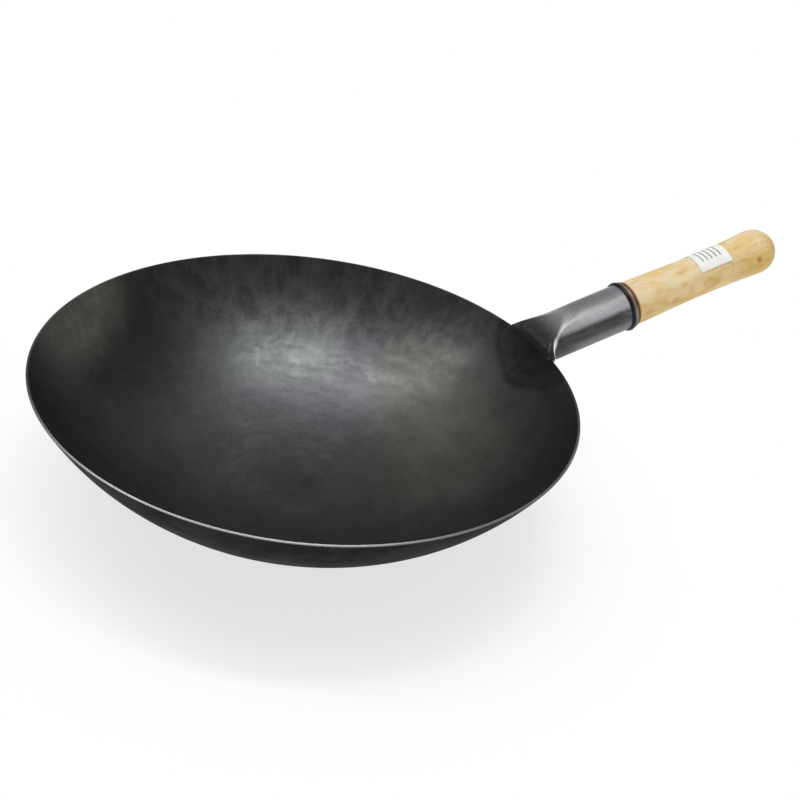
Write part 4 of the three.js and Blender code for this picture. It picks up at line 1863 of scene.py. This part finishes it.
@dataclass
class PhotoCamera:
    """Camera at the photograph's viewing angle.

    Attributes:
        rim_centre: Middle of the rim, which it is placed by.
        distance: Distance from there.
        elevation_degrees: Height of the view above the rim's plane.
        roll_degrees: Turn of the picture.
        handle_degrees: Turn of the handle from the picture's right.
        view_degrees: Angle of view.
        picture: Width and height of the picture, in pixels.
        rim_centre_px: Pixel at which the rim's middle falls.
        sensor: Width of the sensor, in millimetres.
    """

    rim_centre: Place
    distance: float = 1.0374
    elevation_degrees: float = 30.617
    roll_degrees: float = 7.308
    handle_degrees: float = 30.0
    view_degrees: float = 28.0
    picture: float = 800.0
    rim_centre_px: tuple[float, float] = (308.48, 380.25)
    sensor: float = 36.0

    def axes(self) -> tuple[Array, Array]:
        """Camera axes and place.

        A camera that looks straight at the rim's middle is rolled, and then turned so that the middle
        falls at its pixel.

        Returns:
            Rows right, up and forward, and the camera's place.
        """
        rise, roll = math.radians(self.elevation_degrees), math.radians(self.roll_degrees)
        right, up = np.array([1.0, 0.0, 0.0]), np.array([0.0, math.sin(rise), math.cos(rise)])
        ahead = np.array([0.0, math.cos(rise), -math.sin(rise)])
        plain = np.array([
            math.cos(roll) * right + math.sin(roll) * up,
            -math.sin(roll) * right + math.cos(roll) * up,
            ahead,
        ])
        half = self.picture / 2.0
        focal = half / math.tan(math.radians(self.view_degrees) / 2.0)
        column, row = self.rim_centre_px
        ray = unit(np.array([(column - half) / focal, (half - row) / focal, 1.0]))
        swing = np.cross([0.0, 0.0, 1.0], ray)
        cross = np.array([
            [0.0, -swing[2], swing[1]],
            [swing[2], 0.0, -swing[0]],
            [-swing[1], swing[0], 0.0],
        ])
        turned = np.eye(3) + cross + cross @ cross / (1.0 + ray[2])
        handle = math.radians(self.handle_degrees)
        to_model = np.array([
            [math.cos(handle), math.sin(handle), 0.0],
            [-math.sin(handle), math.cos(handle), 0.0],
            [0.0, 0.0, 1.0],
        ])
        rows = turned @ plain @ to_model.T
        return rows, np.array(self.rim_centre) - rows.T @ ray * self.distance

    def build(self) -> None:
        """Make the camera and set it as the scene's."""
        rows, place = self.axes()
        matrix = np.eye(4)
        matrix[:3, :3] = np.stack([rows[0], rows[1], -rows[2]], axis=1)
        matrix[:3, 3] = place
        data = bpy.data.cameras.new("photo_camera")
        data.sensor_width = self.sensor
        data.lens = self.sensor / 2.0 / math.tan(math.radians(self.view_degrees) / 2.0)
        data.dof.use_dof = False
        made = add_object(data.name, data)
        made.matrix_world = Matrix(matrix.tolist())
        bpy.context.scene.camera = made


@dataclass
class Lamp:
    """A long soft box.

    Attributes:
        name: Name of the lamp.
        place: Its place.
        length, width: Its size.
        turn_degrees: Turn of its length from +X.
        radiance: Brightness of its face, where 1 is white.
        tilt_degrees: Tilt of its face from straight down, about its length.
    """

    name: str
    place: Place
    length: float
    width: float
    turn_degrees: float
    radiance: float
    tilt_degrees: float = 0.0

    def build(self) -> None:
        """Make the lamp; its power is pi * area * radiance."""
        data = bpy.data.lights.new(self.name, "AREA")
        data.shape = "RECTANGLE"
        data.size, data.size_y = self.length, self.width
        data.energy = math.pi * self.length * self.width * self.radiance
        made = add_object(self.name, data)
        made.location = self.place
        made.rotation_euler = (math.radians(self.tilt_degrees), 0.0, math.radians(self.turn_degrees))


@dataclass
class Studio:
    """Pale floor, a row of two long soft boxes overhead, a low fill beside the handle and a plain surround.

    Attributes:
        floor_half: Half the floor's width.
        floor_drop: Drop of the floor below the wok's flat, so that the two don't share a plane.
        floor_colour: Colour of the floor.
        floor_lines: Lines of points each way across the floor.
        glow_near: Share of plain white in the floor under the wok as seen or mirrored; further off it is 1.
        glow_from, glow_to: Distances from the wok's middle between which that share grows.
        surround: Strength of the surround.
        lamps: The soft boxes.
    """

    floor_half: float = 60.0
    floor_drop: float = 0.0002
    floor_colour: Colour = (0.93, 0.93, 0.93)
    floor_lines: int = 9
    glow_near: float = 0.72
    glow_from: float = 0.13
    glow_to: float = 0.28
    surround: float = 0.36
    lamps: tuple[Lamp, ...] = (
        Lamp("middle_box", (0.075, -0.055, 1.45), length=0.67, width=0.20, turn_degrees=151.0, radiance=21.0),
        Lamp("side_box", (-0.786, 0.584, 1.45), length=1.21, width=0.20, turn_degrees=151.0, radiance=13.0),
        Lamp(
            "handle_fill", (0.33, -0.65, 0.06), length=0.60, width=0.24, turn_degrees=0.0, radiance=1.5,
            tilt_degrees=92.0,
        ),
    )

    def build(self) -> None:
        """Make the floor, the lamps and the surround."""
        self.build_floor()
        for lamp in self.lamps:
            lamp.build()
        self.build_surround()
        bpy.context.scene.view_settings.view_transform = "Standard"

    def build_floor(self) -> None:
        """Make the floor as one flat grid."""
        span = np.linspace(-self.floor_half, self.floor_half, self.floor_lines)
        x, y = np.meshgrid(span, span)
        points = np.stack([x, y, np.full_like(x, -self.floor_drop)], axis=-1)
        at = np.arange(x.size).reshape(x.shape)
        quads = np.stack([at[:-1, :-1], at[:-1, 1:], at[1:, 1:], at[1:, :-1]], axis=-1)
        mesh = bpy.data.meshes.new("studio_floor")
        mesh.from_pydata(points.reshape(-1, 3).tolist(), [], quads.reshape(-1, 4).tolist())
        floor = add_object(mesh.name, mesh)
        mesh.materials.append(self.floor_material())

    def floor_material(self) -> bpy.types.Material:
        """Pale matt floor, mixed with plain white where it is seen, mirrored or seen through.

        Returns:
            The material.
        """
        w = Wiring("pale_floor")
        w.set(Base_Color=(*self.floor_colour, 1.0), Roughness=0.8, Specular_IOR_Level=0.1)
        path = w.node("LightPath").outputs
        seen = w.maths("MAXIMUM", path["Is Camera Ray"], path["Is Glossy Ray"])
        seen = w.maths("MAXIMUM", seen, path["Is Transmission Ray"])
        away = w.vectors("LENGTH", w.place())
        glow = w.band(away, self.glow_from, self.glow_to, self.glow_near, 1.0)
        white = w.node("Emission").outputs[0]
        mixed = w.fill(w.node("MixShader"), w.times(seen, glow), w.shader.outputs[0], white)
        w.fill(w.tree.nodes["Material Output"], Surface=mixed.outputs[0])
        return w.material

    def build_surround(self) -> None:
        """Make the plain surround."""
        world = bpy.data.worlds.new("pale_surround")
        bpy.context.scene.world = world
        world.use_nodes = True
        background = world.node_tree.nodes["Background"]
        background.inputs["Color"].default_value = (1.0, 1.0, 1.0, 1.0)
        background.inputs["Strength"].default_value = self.surround


def main() -> None:
    """Build and dress every piece in order."""
    logging.basicConfig(level=logging.INFO, format="%(name)s %(message)s")
    handle_lift = 0.0014
    low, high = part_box(Node.BOWL.value)
    bowl = Bowl((high.x - low.x) / 2.0)
    line = HandleLine((bowl.rim_radius, 0.0, bowl.rim_height + handle_lift))
    PhotoCamera((0.0, 0.0, bowl.rim_height)).build()
    socket = HandleSocket(line, bowl)
    grip = Grip(line)
    for assembly in (bowl, socket, Weld(socket), Collar(line), grip, Screw(line), Label(grip)):
        assembly.build()
        assembly.dress()
    Studio().build()


if __name__ == "__main__":
    main()
